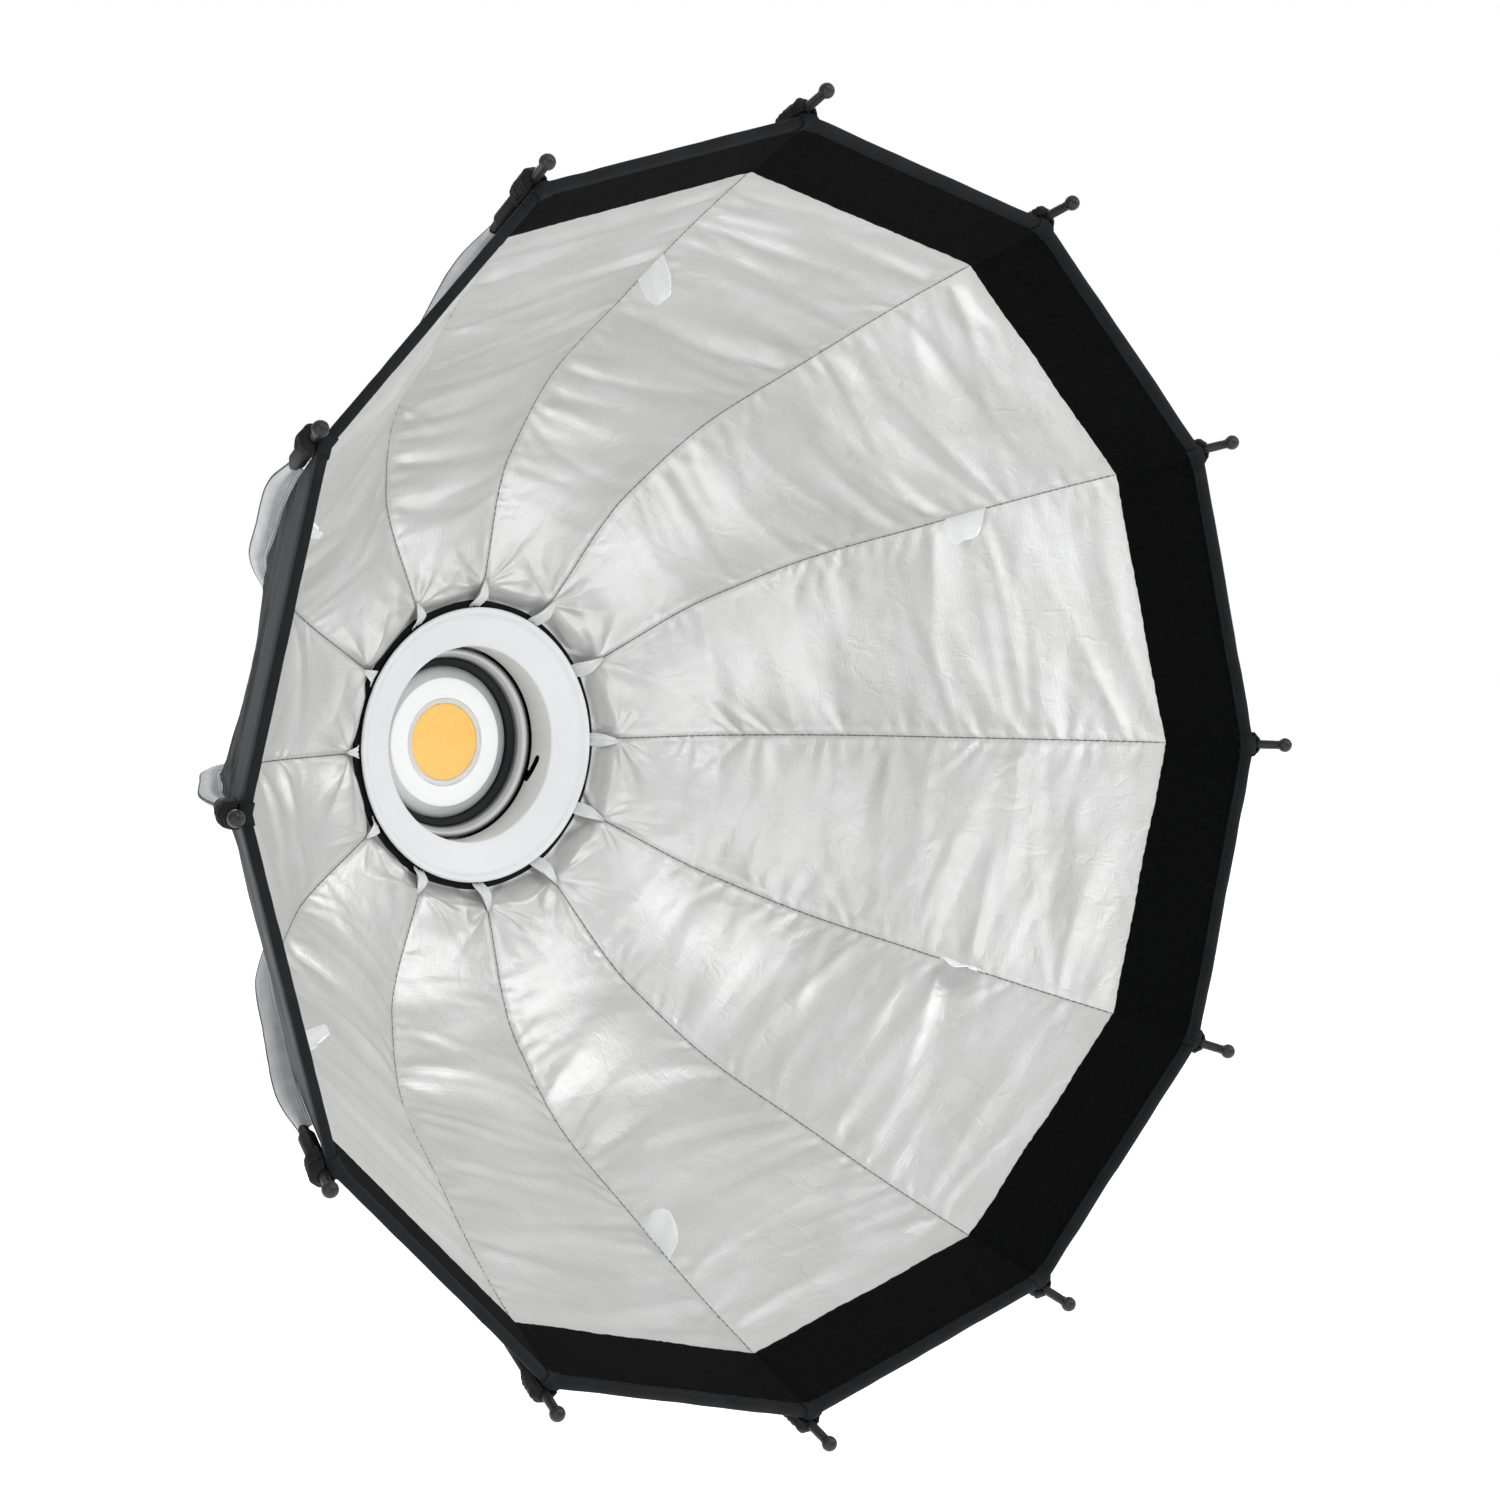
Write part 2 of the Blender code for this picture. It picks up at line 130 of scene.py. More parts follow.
# ---- folds and puckers of the cloth ----
def tension(u, s):
    """The cloth pulls in between the rods where they bend most."""
    knee = 0.0045 * np.exp(-((s - 0.085) / 0.055) ** 2)
    wall = 0.0022 * smooth(s / 0.1) * smooth((BAND_START - s) / 0.12)
    return (knee + wall) * 4 * u * (1 - u)


def long_folds(x, s, width, rng):
    """Soft folds that start at one seam and fade out toward the other."""
    total = np.zeros_like(s)
    lean = rng.normal(0, 0.22)
    place = 0.050
    while place < BAND_START + 0.01:
        side = rng.choice([-1, 1])
        slant = lean * side + rng.normal(0, 0.12)
        bow = rng.normal(0, 1.2)
        half = rng.uniform(0.0020, 0.0072)
        height = rng.uniform(0.055, 0.165) * half * rng.choice([1, 1, -0.8])
        steep = rng.uniform(-0.75, 0.75)
        reach = rng.uniform(0.35, 1.1)
        gone = np.clip(0.5 + side * x / width, 0, 1)
        t = (s - place - slant * x - bow * x * x) / (half * (0.55 + 1.5 * gone))
        crest = np.exp(-np.abs(t) ** 1.35) * (1 + steep * np.tanh(3.0 * t))
        ridge = crest - 0.45 * np.exp(-((t - 1.9) / 1.3) ** 2)
        total += height * ridge * np.exp(-(gone / reach) ** 2)
        place += rng.uniform(0.004, 0.0125)
    return total


def puckers(gap, s, rng):
    """Short creases that point at a seam, gap metres away."""
    total = np.zeros_like(s)
    place = 0.035 + rng.uniform(0, 0.01)
    while place < BAND_START - 0.004:
        slant = rng.normal(0.05, 0.38)
        reach = rng.uniform(0.006, 0.022)
        height = rng.uniform(0.20, 0.80) * 0.001 * min(1, reach / 0.012)
        half = rng.uniform(0.0009, 0.0018)
        t = (s - place - slant * gap) / (half + 0.20 * gap)
        crease = -1.1 * np.exp(-np.abs(t) * 1.5) + 0.75 * np.exp(-(np.abs(t) - 1.7) ** 2 * 1.6)
        total += height * crease * np.exp(-(gap / reach) ** 1.6) * smooth(gap / 0.0016)
        place += rng.uniform(0.006, 0.017)
    return total


def fold_marks(x, s, rng):
    """Thin straight creases from packing."""
    total = np.zeros_like(s)
    for _ in range(10):
        centre_s = rng.uniform(0.06, BAND_START - 0.01)
        centre_x = rng.uniform(-0.035, 0.035)
        turn = rng.choice([rng.normal(0.35, 0.2), rng.normal(1.5, 0.15)])
        half_length = rng.uniform(0.008, 0.024)
        c, d = math.cos(turn), math.sin(turn)
        along = (s - centre_s) * c + (x - centre_x) * d
        off = -(s - centre_s) * d + (x - centre_x) * c
        total += 0.00016 * np.exp(-np.abs(off) / 0.0008) * smooth(2 * (1 - np.abs(along) / half_length))
    return total


def hub_gathers(u, x, s, width, rng):
    """Fans of folds that start at the ties round the hub ring, and the puffs between them."""
    total = np.zeros_like(s)
    for side in (-1, 1):
        dx = np.abs(width / 2 - side * x)
        ds = s - 0.007
        radius = np.hypot(dx, ds) + 1e-5
        angle = np.arctan2(dx, ds)
        fan = np.zeros_like(s)
        for _ in range(7):
            at = rng.uniform(0.15, 2.3)
            half = rng.uniform(0.07, 0.2)
            height = rng.uniform(0.5, 1.6) * rng.choice([1, -0.7])
            reach = rng.uniform(0.012, 0.036)
            t = (angle - at) / half
            fold = np.exp(-np.abs(t) ** 1.25) - 0.5 * np.exp(-(t - 1.6) ** 2)
            fan += height * fold * np.exp(-(radius / reach) ** 2)
        total += 0.0013 * fan * smooth(radius / 0.014) * smooth(dx / 0.003)
    near = np.exp(-(s / 0.026) ** 2)
    puff = 0.0026 * (4 * u * (1 - u)) ** 0.7 * np.exp(-((s - 0.014) / 0.012) ** 2)
    crumple = noise(x + 0.3 * s, s, 0.0085, int(rng.integers(1e6)))
    ridges = 1 - np.abs(noise(x - 0.2 * s, s * 0.9, 0.012, int(rng.integers(1e6)))) * 2
    edge = smooth(4 * u * (1 - u) * 3)
    total += puff + near * edge * (0.0007 * crumple + 0.0009 * ridges)
    return total


SLACK = (1.15, 1.2, 1.8, 2.1, 2.1, 1.8, 1.8, 2.0, 1.9, 1.3, 1.3, 1.25)   # how slack each panel is


def lift(panel, u, s):
    """How far the lining stands in from the flat panel, in metres."""
    rng = np.random.default_rng(900 + panel)
    width = seam_at(s)[0] * CHORD
    x = (u - 0.5) * width
    low, high = u * width, (1 - u) * width
    folds = SLACK[panel] * long_folds(x, s, width, rng)
    edge = smooth(low / 0.010) * smooth(high / 0.010)
    creases = puckers(low, s, rng) + puckers(high, s, rng)
    marks = fold_marks(x, s, rng)
    soft = 0.00035 * noise(x, s, 0.021, 40 + panel) + 0.00016 * noise(x, s, 0.0085, 60 + panel)
    away = smooth((s - 0.02) / 0.04)
    calm = 0.15 + 0.85 * smooth((BAND_START - s) / 0.016)
    calm = calm * smooth((BAND_START + 0.008 - s) / 0.008)
    body = away * (folds * edge + creases) + edge * (marks + soft)
    ridge = 0.0004 * sum(np.exp(-((gap - 0.0022) / 0.0014) ** 2) for gap in (low, high))
    gathers = hub_gathers(u, x, s, width, rng) * smooth((0.11 - s) / 0.06)
    return tension(u, s) * smooth((BAND_START - s) / 0.05) + (body + ridge) * calm + gathers


# ---- meshes ----
def link(name, data):
    """Adds an object with this mesh, camera or lamp to the scene."""
    made = bpy.data.objects.new(name, data)
    bpy.context.scene.collection.objects.link(made)
    return made


def shade(mesh, sharp=None):
    mesh.shade_smooth()
    if sharp:
        mesh.set_sharp_from_angle(angle=math.radians(sharp))


def object_from(bm, name, look, sharp=None):
    """Turns a closed bmesh into an object with outward normals; it is flat-shaded without sharp."""
    bmesh.ops.recalc_face_normals(bm, faces=bm.faces)
    mesh = bpy.data.meshes.new(name)
    bm.to_mesh(mesh)
    bm.free()
    mesh.materials.append(look)
    if sharp:
        shade(mesh, sharp)
    return link(name, mesh)


def rod_body(rod):
    return f"rod_{rod + 1:02d}"


def finish(piece, body, node=None):
    """Says which body a piece rides on, and the CAD node that it replaces."""
    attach(piece, body)
    if node:
        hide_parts(node)


def make_object(name, points, faces, materials, face_materials=None, normals=None, uvs=None):
    mesh = bpy.data.meshes.new(name)
    mesh.from_pydata(np.asarray(points, float).tolist(), [], [list(map(int, f)) for f in faces])
    for m in materials:
        mesh.materials.append(m)
    if face_materials is not None:
        mesh.polygons.foreach_set("material_index", np.asarray(face_materials, np.int32))
    mesh.shade_smooth()
    for layer, values in (uvs or {}).items():
        made = mesh.uv_layers.new(name=layer)
        index = np.empty(len(mesh.loops), np.int32)
        mesh.loops.foreach_get("vertex_index", index)
        made.data.foreach_set("uv", np.asarray(values, np.float32)[index].ravel())
    mesh.validate()
    if normals is not None:
        mesh.normals_split_custom_set_from_vertices(np.asarray(normals, float).tolist())
    return link(name, mesh)


def grid_faces(rows, columns, start=0, flip=False):
    i, j = np.meshgrid(np.arange(rows - 1), np.arange(columns - 1), indexing="ij")
    a = start + i * columns + j
    quads = np.stack([a, a + 1, a + columns + 1, a + columns], -1).reshape(-1, 4)
    return quads[:, ::-1] if flip else quads


def rim_faces(rows, columns, other, flip=False):
    """Walls between two grids of the same size, the second starting at index other."""
    top = np.arange(columns)
    right = np.arange(rows) * columns + columns - 1
    bottom = (rows - 1) * columns + np.arange(columns)[::-1]
    left = np.arange(rows)[::-1] * columns
    loop = np.concatenate([top[:-1], right[:-1], bottom[:-1], left[:-1]])
    following = np.roll(loop, -1)
    quads = np.stack([loop, loop + other, following + other, following], -1)
    return quads[:, ::-1] if flip else quads


def slab(top, low, flip=False):
    """A closed layer between two grids: its points, and its faces on top, below and round the rim."""
    rows, columns = top.shape[:2]
    size = rows * columns
    points = np.concatenate([top.reshape(-1, 3), low.reshape(-1, 3)])
    return points, [grid_faces(rows, columns, 0, flip), grid_faces(rows, columns, size, not flip),
                    rim_faces(rows, columns, size, not flip)]


def grid_normals(points):
    du, dv = np.gradient(points, axis=1), np.gradient(points, axis=0)
    n = np.cross(du, dv)
    return n / np.maximum(np.linalg.norm(n, axis=-1, keepdims=True), 1e-12)


def tube_along(path, radius, sides, up):
    """Rings round a path; radius is one number or one for each point, up any steady direction."""
    path = np.asarray(path, float)
    ahead = np.gradient(path, axis=0)
    ahead /= np.linalg.norm(ahead, axis=1, keepdims=True)
    side = np.cross(ahead, up)
    side /= np.linalg.norm(side, axis=1, keepdims=True)
    over = np.cross(side, ahead)
    turn = 2 * np.pi * np.arange(sides) / sides
    radius = np.broadcast_to(radius, len(path))[:, None, None]
    return path[:, None] + radius * (np.cos(turn)[None, :, None] * side[:, None]
                                     + np.sin(turn)[None, :, None] * over[:, None])


def loft(rings, closed_ends=True, start=0, flip=False):
    """Points and faces of a skin through rings of the same number of points."""
    rings = np.asarray(rings, float)
    count, sides = rings.shape[:2]
    i, j = np.meshgrid(np.arange(count - 1), np.arange(sides), indexing="ij")
    k = (j + 1) % sides
    faces = np.stack([i * sides + j, i * sides + k, (i + 1) * sides + k, (i + 1) * sides + j],
                     -1).reshape(-1, 4) + start
    faces = [list(f[::-1] if flip else f) for f in faces]
    if closed_ends:
        first, last = list(range(sides))[::-1], list(range((count - 1) * sides, count * sides))
        faces += [[v + start for v in first], [v + start for v in last]]
    return rings.reshape(-1, 3), faces


def fix_normals(made, sharp=None):
    bm = bmesh.new()
    bm.from_mesh(made.data)
    bmesh.ops.recalc_face_normals(bm, faces=bm.faces)
    bm.to_mesh(made.data)
    bm.free()
    shade(made.data, sharp)


# ---- materials ----
def new_material(name):
    made = bpy.data.materials.new(name)
    made.use_nodes = True
    made.node_tree.nodes.clear()
    out = made.node_tree.nodes.new("ShaderNodeOutputMaterial")
    shader = made.node_tree.nodes.new("ShaderNodeBsdfPrincipled")
    made.node_tree.links.new(shader.outputs[0], out.inputs[0])
    return made, Tree(made.node_tree), shader


class Tree:
    """Short ways to add nodes to a material."""

    def __init__(self, tree):
        self.tree = tree

    def node(self, kind, inputs=(), **settings):
        made = self.tree.nodes.new("ShaderNode" + kind)
        for key, value in settings.items():
            setattr(made, key, value)
        self.fill(made, dict(inputs))
        return made

    def fill(self, node, inputs):
        for key, value in inputs.items():
            self.put(node.inputs[key], value)

    def put(self, socket, value):
        if isinstance(value, bpy.types.NodeSocket):
            self.tree.links.new(value, socket)
        else:
            socket.default_value = value

    def math(self, operation, *values):
        made = self.node("Math", operation=operation)
        for i, value in enumerate(values):
            self.put(made.inputs[i], value)
        return made.outputs[0]

    def mix(self, factor, a, b):
        made = self.node("Mix", data_type="RGBA")
        self.put(made.inputs["Factor"], factor)
        for socket, value in zip([s for s in made.inputs if s.type == "RGBA"], (a, b)):
            self.put(socket, value)
        return next(s for s in made.outputs if s.type == "RGBA")

    def spread(self, value, low, high, to_low=0.0, to_high=1.0):
        made = self.node("MapRange", {"Value": value, "From Min": low, "From Max": high,
                                      "To Min": to_low, "To Max": to_high})
        return made.outputs[0]

    def noise(self, vector, scale, detail=2.0, rough=0.5):
        return self.node("TexNoise", {"Vector": vector, "Scale": scale, "Detail": detail,
                                      "Roughness": rough}).outputs["Fac"]

    def bump(self, height, distance, strength=1.0, under=None):
        inputs = {"Height": height, "Distance": distance, "Strength": strength}
        if under is not None:
            inputs["Normal"] = under
        return self.node("Bump", inputs).outputs[0]

    def wave(self, value, period):
        """A smooth wave from 0 to 1 along value."""
        turns = self.math("MULTIPLY", value, 2 * math.pi / period)
        return self.math("MULTIPLY_ADD", self.math("COSINE", turns), 0.5, 0.5)


def rgba(r, g, b):
    return (r, g, b, 1.0)


def cloth_coordinates(t):
    """(across, along) in metres, from the cloth's own map, and the whole vector."""
    vector = t.node("UVMap", uv_map="Cloth").outputs[0]
    parts = t.node("SeparateXYZ", {"Vector": vector})
    return parts.outputs[0], parts.outputs[1], vector


def lining_material():
    made, t, shader = new_material("silver_satin")
    x, s, vector = cloth_coordinates(t)
    edge = t.node("SeparateXYZ", {"Vector": t.node("UVMap", uv_map="Edge").outputs[0]}).outputs[0]
    grid = t.math("MAXIMUM", t.math("POWER", t.wave(x, 0.0023), 9.0),
                  t.math("POWER", t.wave(s, 0.0023), 9.0))
    weave = t.math("MULTIPLY", t.wave(x, 0.00042), t.wave(s, 0.00042))
    cloud = t.noise(vector, 22.0, 3.0)
    fleck = t.noise(vector, 420.0, 2.0)
    smear = t.noise(t.node("Mapping", {"Vector": vector, "Scale": (60, 9, 1)}).outputs[0], 6.0, 3.0)
    colour = t.mix(t.spread(cloud, 0.3, 0.7), rgba(0.640, 0.640, 0.628), rgba(0.715, 0.720, 0.716))
    colour = t.mix(t.math("MULTIPLY", grid, 0.05), colour, rgba(0.50, 0.51, 0.51))
    colour = t.mix(t.spread(edge, 0.00012, 0.0005, 0.75, 0.0), colour, rgba(0.22, 0.22, 0.225))
    t.fill(shader, {"Base Color": colour, "Metallic": 0.62})
    rough = t.spread(smear, 0.25, 0.75, 0.33, 0.43)
    t.put(shader.inputs["Roughness"], t.math("MULTIPLY_ADD", fleck, 0.05, rough))
    relief = t.bump(weave, 0.00004, 0.5)
    relief = t.bump(grid, 0.00006, 0.5, relief)
    relief = t.bump(t.noise(vector, 95.0, 4.0, 0.6), 0.0005, 0.30, relief)
    warp = t.node("TexNoise", {"Vector": vector, "Scale": 60.0, "Detail": 2.0}).outputs["Color"]
    bent = t.node("VectorMath", {0: warp, 1: (0.02, 0.02, 0), 2: vector}, operation="MULTIPLY_ADD").outputs[0]
    # fine creases: two sizes of crumpled cells, in patches
    for scale, depth in ((58.0, 0.00030), (150.0, 0.00014)):
        stretched = t.node("Mapping", {"Vector": bent, "Scale": (1.0, 0.62, 1.0)}).outputs[0]
        voronoi = t.node("TexVoronoi", {"Vector": stretched, "Scale": scale}, feature="DISTANCE_TO_EDGE")
        cell = voronoi.outputs["Distance"]
        where = t.spread(t.noise(vector, scale * 0.45, 2.0), 0.42, 0.62)
        relief = t.bump(t.math("MULTIPLY", t.spread(cell, 0.0, 0.16), where), depth, 0.55, relief)
    t.put(shader.inputs["Normal"], relief)
    return made


def shell_material():
    made, t, shader = new_material("charcoal_shell")
    x, s, vector = cloth_coordinates(t)
    weave = t.math("MAXIMUM", t.wave(x, 0.0007), t.wave(s, 0.0007))
    cloud = t.noise(vector, 30.0, 3.0)
    colour = t.mix(t.spread(cloud, 0.3, 0.7), rgba(0.010, 0.0112, 0.0128), rgba(0.0155, 0.0172, 0.0195))
    t.fill(shader, {"Base Color": colour, "Roughness": t.spread(cloud, 0.3, 0.7, 0.55, 0.68),
                    "Specular IOR Level": 0.2, "Sheen Weight": 0.03, "Sheen Roughness": 0.4})
    relief = t.bump(weave, 0.00006, 0.6)
    relief = t.bump(t.noise(vector, 110.0, 4.0, 0.6), 0.0006, 0.35, relief)
    t.put(shader.inputs["Normal"], relief)
    return made


def object_coordinates(t):
    return t.node("TexCoord").outputs["Object"]


def loop_material():
    made, t, shader = new_material("loop_pile")
    vector = object_coordinates(t)
    pile = t.noise(vector, 1500.0, 4.0, 0.7)
    tuft = t.noise(vector, 420.0, 3.0, 0.6)
    colour = t.mix(t.spread(tuft, 0.3, 0.75), rgba(0.0012, 0.0013, 0.0014), rgba(0.0036, 0.0039, 0.0041))
    t.fill(shader, {"Base Color": colour, "Roughness": 0.95, "Specular IOR Level": 0.05, "Sheen Weight": 0.010,
                    "Sheen Roughness": 0.6})
    relief = t.bump(tuft, 0.0008, 0.5)
    t.put(shader.inputs["Normal"], t.bump(pile, 0.0006, 0.8, relief))
    return made


def woven_material(name, dark, light, period, roughness, sheen, relief_depth=0.00012, specular=0.5, painted_glow=0.0):
    """Plain webbing or binding: two crossing threads, period apart, between a dark and a light colour."""
    made, t, shader = new_material(name)
    vector = object_coordinates(t)
    parts = t.node("SeparateXYZ", {"Vector": vector})
    diagonal = t.math("ADD", parts.outputs[0], parts.outputs[2])
    other = t.math("SUBTRACT", parts.outputs[1], parts.outputs[2])
    weave = t.math("MAXIMUM", t.wave(diagonal, period), t.wave(other, period))
    cloud = t.noise(vector, 60.0, 3.0)
    blend = t.math("MULTIPLY", t.spread(cloud, 0.3, 0.7), t.spread(weave, 0.2, 1.0, 0.5, 1.0))
    # emission in the light colour is a painted glow that brightens the surface as if lit
    t.fill(shader, {"Base Color": t.mix(blend, rgba(*dark), rgba(*light)),
                    "Roughness": t.spread(cloud, 0.3, 0.7, roughness - 0.05, roughness + 0.05),
                    "Sheen Weight": sheen, "Specular IOR Level": specular, "Emission Color": rgba(*light),
                    "Emission Strength": painted_glow})
    relief = t.bump(weave, relief_depth, 0.7)
    t.put(shader.inputs["Normal"], t.bump(t.noise(vector, 240.0, 3.0), 0.0004, 0.4, relief))
    return made


def hard_material(name, dark, light, roughness, metallic=0.0, grain=0.0001, grain_scale=900.0,
                  coat=0.0, wear=None, painted_glow=0.0, specular=0.5):
    """Paint, plastic or metal with faint colour variation, fine grain and optional edge wear."""
    made, t, shader = new_material(name)
    vector = object_coordinates(t)
    cloud = t.noise(vector, 18.0, 3.0)
    fine = t.noise(vector, grain_scale, 3.0)
    colour = t.mix(t.spread(cloud, 0.3, 0.7), rgba(*dark), rgba(*light))
    if wear:
        point = t.node("NewGeometry").outputs["Pointiness"]
        patches = t.spread(t.noise(vector, 160.0, 4.0), 0.42, 0.62)
        worn = t.math("MULTIPLY", t.spread(point, 0.53, 0.60), patches)
        colour = t.mix(worn, colour, rgba(*wear))
    t.fill(shader, {"Base Color": colour,
                    "Roughness": t.spread(fine, 0.25, 0.75, roughness * 0.88, roughness * 1.12),
                    "Metallic": metallic, "Coat Weight": coat, "Specular IOR Level": specular})
    # painted glow: emission in the surface's own colour that lifts it out of shade
    if painted_glow:
        t.put(shader.inputs["Emission Color"], colour)
        shader.inputs["Emission Strength"].default_value = painted_glow
    t.put(shader.inputs["Normal"], t.bump(fine, grain, 0.5))
    return made


def turned_alloy_material():
    """Turned alloy whose colour is ramped by radius: painted shade near its bore, a painted highlight band across
    the middle and near-black painted shade at its outer edge.
    """
    made, t, shader = new_material("turned_alloy")
    vector = object_coordinates(t)
    flat = t.node("VectorMath", {0: vector, 1: (1, 0, 1)}, operation="MULTIPLY").outputs[0]
    radius = t.node("VectorMath", {0: flat}, operation="LENGTH").outputs["Value"]
    # the colour ramp paints light and shade across the ring: shaded near the bore, a bright painted highlight in
    # the middle, shaded to near black at the outer edge
    ramp = t.node("ValToRGB", {"Fac": t.spread(radius, 0.0412, 0.0470)})
    painted_shading_stops = ((0.0, 0.10), (0.10, 0.16), (0.20, 0.50), (0.34, 0.58), (0.50, 0.88), (0.60, 0.62), (0.70, 0.20),
             (0.80, 0.05), (0.92, 0.012), (1.0, 0.008))
    ramp.color_ramp.elements.remove(ramp.color_ramp.elements[1])
    for place, grey in painted_shading_stops:
        stop = ramp.color_ramp.elements.new(place) if place else ramp.color_ramp.elements[0]
        stop.color = rgba(grey, grey * 1.01, grey * 1.015)
    lathe = t.noise(t.node("CombineXYZ", {"X": radius}).outputs[0], 6000.0, 2.0)
    colour = t.mix(t.math("MULTIPLY", lathe, 0.05), ramp.outputs[0], rgba(0.5, 0.5, 0.5))
    t.fill(shader, {"Base Color": colour, "Metallic": 0.35, "Roughness": 0.38,
                    "Normal": t.bump(lathe, 0.00001, 0.4)})
    return made


def phosphor_material():
    made, t, shader = new_material("led_phosphor")
    vector = object_coordinates(t)
    cell = t.node("TexVoronoi", {"Vector": vector, "Scale": 260.0}).outputs["Distance"]
    cloud = t.noise(vector, 90.0, 3.0)
    colour = t.mix(t.spread(cell, 0.0, 0.7), rgba(1.0, 0.555, 0.125), rgba(1.0, 0.60, 0.155))
    colour = t.mix(t.math("MULTIPLY", t.spread(cloud, 0.4, 0.7), 0.25), colour, rgba(0.98, 0.50, 0.10))
    t.fill(shader, {"Base Color": colour, "Roughness": 0.42, "Coat Weight": 0.25, "Coat Roughness": 0.3,
                    "Emission Color": colour, "Emission Strength": 0.16, "Normal": t.bump(cell, 0.00012, 0.4)})
    return made


LINING, SHELL, LOOP = lining_material(), shell_material(), loop_material()
BINDING = woven_material("charcoal_binding_weave", (0.007, 0.0076, 0.0084), (0.014, 0.0152, 0.0168),
                         0.0006, 0.75, 0.008, 0.00014, 0.10)
# a lighter copy of the same binding for the hem's outside leg: painted light, the tape drawn as if lit
BINDING_PAINTED_LIT = woven_material("charcoal_binding_painted_lit", (0.018, 0.0195, 0.0215), (0.029, 0.031, 0.034),
                                 0.0006, 0.75, 0.01, 0.00014, 0.12)
STRAP = woven_material("black_webbing", (0.003, 0.003, 0.0033), (0.008, 0.008, 0.0085),
                       0.0009, 0.6, 0.01, 0.0002, 0.15)
SLEEVE = woven_material("sleeve_satin", (0.36, 0.375, 0.385), (0.52, 0.535, 0.54), 0.0005, 0.42, 0.15, 0.00005)
PIPING = woven_material("piping_thread", (0.03, 0.03, 0.032), (0.06, 0.06, 0.062), 0.0005, 0.8, 0.1)
THREAD = woven_material("dark_thread", (0.075, 0.075, 0.078), (0.14, 0.14, 0.145), 0.0003, 0.7, 0.2)
# the seam tabs' white tape carries a small painted glow so it reads white where it sits in shade
WHITE_TAPE = woven_material("white_tape", (0.90, 0.905, 0.91), (0.95, 0.955, 0.96),
                            0.0006, 0.6, 0.25, 0.00006, painted_glow=0.04)
TIE_TAPE = woven_material("tie_tape", (0.74, 0.745, 0.745), (0.84, 0.845, 0.84), 0.0005, 0.5, 0.25, 0.00006)
ENAMEL = hard_material("white_enamel_paint", (0.83, 0.852, 0.855), (0.86, 0.878, 0.88), 0.42,
                       grain=0.00004, grain_scale=1400.0, coat=0.12)
NYLON = hard_material("black_nylon_moulding", (0.006, 0.006, 0.0064), (0.011, 0.011, 0.0115), 0.5,
                      grain=0.00006, wear=(0.035, 0.035, 0.035), specular=0.25)
TIP_PLASTIC = hard_material("tip_plastic", (0.010, 0.010, 0.010), (0.018, 0.018, 0.0176), 0.34,
                            grain=0.00008, grain_scale=1200.0, wear=(0.08, 0.08, 0.08), specular=0.32)
FERRULE = hard_material("ferrule_plastic", (0.004, 0.004, 0.004), (0.008, 0.008, 0.008), 0.5,
                        grain=0.00008, grain_scale=1200.0, wear=(0.02, 0.02, 0.02), specular=0.08)
STEEL = hard_material("spring_steel_wire", (0.16, 0.16, 0.165), (0.26, 0.26, 0.265), 0.34, 1.0, 0.00003, 1500.0)
PLATE_STEEL = hard_material("plated_steel", (0.50, 0.50, 0.51), (0.62, 0.62, 0.63), 0.27, 1.0, 0.00003, 1500.0)
ALLOY = turned_alloy_material()
BEZEL = hard_material("lamp_bezel", (0.56, 0.57, 0.575), (0.64, 0.65, 0.655), 0.42, 0.4, 0.00001, 1600.0)
LAMP_BLACK = hard_material("lamp_black", (0.006, 0.007, 0.008), (0.011, 0.012, 0.013), 0.5,
                           grain=0.00003, grain_scale=1200.0, specular=0.25)
# the lamp's white face gives no light; its glow is painted light that brightens it inside the shaded bore
LAMP_WHITE = hard_material("lamp_white_face", (0.93, 0.935, 0.935), (0.95, 0.955, 0.955), 0.5,
                           grain=0.00001, grain_scale=1400.0, painted_glow=0.12)
DAM = hard_material("silicone_dam", (0.76, 0.75, 0.71), (0.84, 0.82, 0.77), 0.4, grain=0.00004)
# near-black painted shade for what shows through the J slot: its cut walls and the carrier's bore behind it
SLOT_PAINTED_SHADE = hard_material("slot_painted_shade", (0.003, 0.003, 0.003), (0.005, 0.005, 0.005), 0.7,
                           grain=0.00001, specular=0.08)
PHOSPHOR = phosphor_material()


# ---- canopy ----
COLUMNS = 32                      # across half a panel
EDGE_BOW = 0.0022                 # how far the hub edge bows out between two ties
DIP_BACK, DIP_IN = 0.0066, 0.0010  # how far the hub edge turns back and in, under the ring
ACROSS = np.linspace(0, 1, 2 * COLUMNS + 1)
HALVES = (slice(0, COLUMNS + 1), slice(COLUMNS, 2 * COLUMNS + 1))
BAND_ROWS, BAND_GAP = 26, 0.0004   # BAND_GAP is between the lining and the back of the loop tape


def panel_rows():
    return np.concatenate([np.linspace(0, 0.024, 30)[:-1], np.linspace(0.024, 0.06, 28)[:-1],
                           np.linspace(0.06, SEAM_TOTAL, 124)])


def across_panel(panel, u, radius, y):
    """Points on the straight lines from one rod's plane to the next, between rods panel and panel + 1."""
    low, high = polar(radius, y, panel * STEP), polar(radius, y, (panel + 1) * STEP)
    return low + (high - low) * u[..., None]


def panel_out(panel, s):
    dr, dy = seam_direction(s, SQUEEZE)
    return polar(-dy, dr, (panel + 0.5) * STEP)


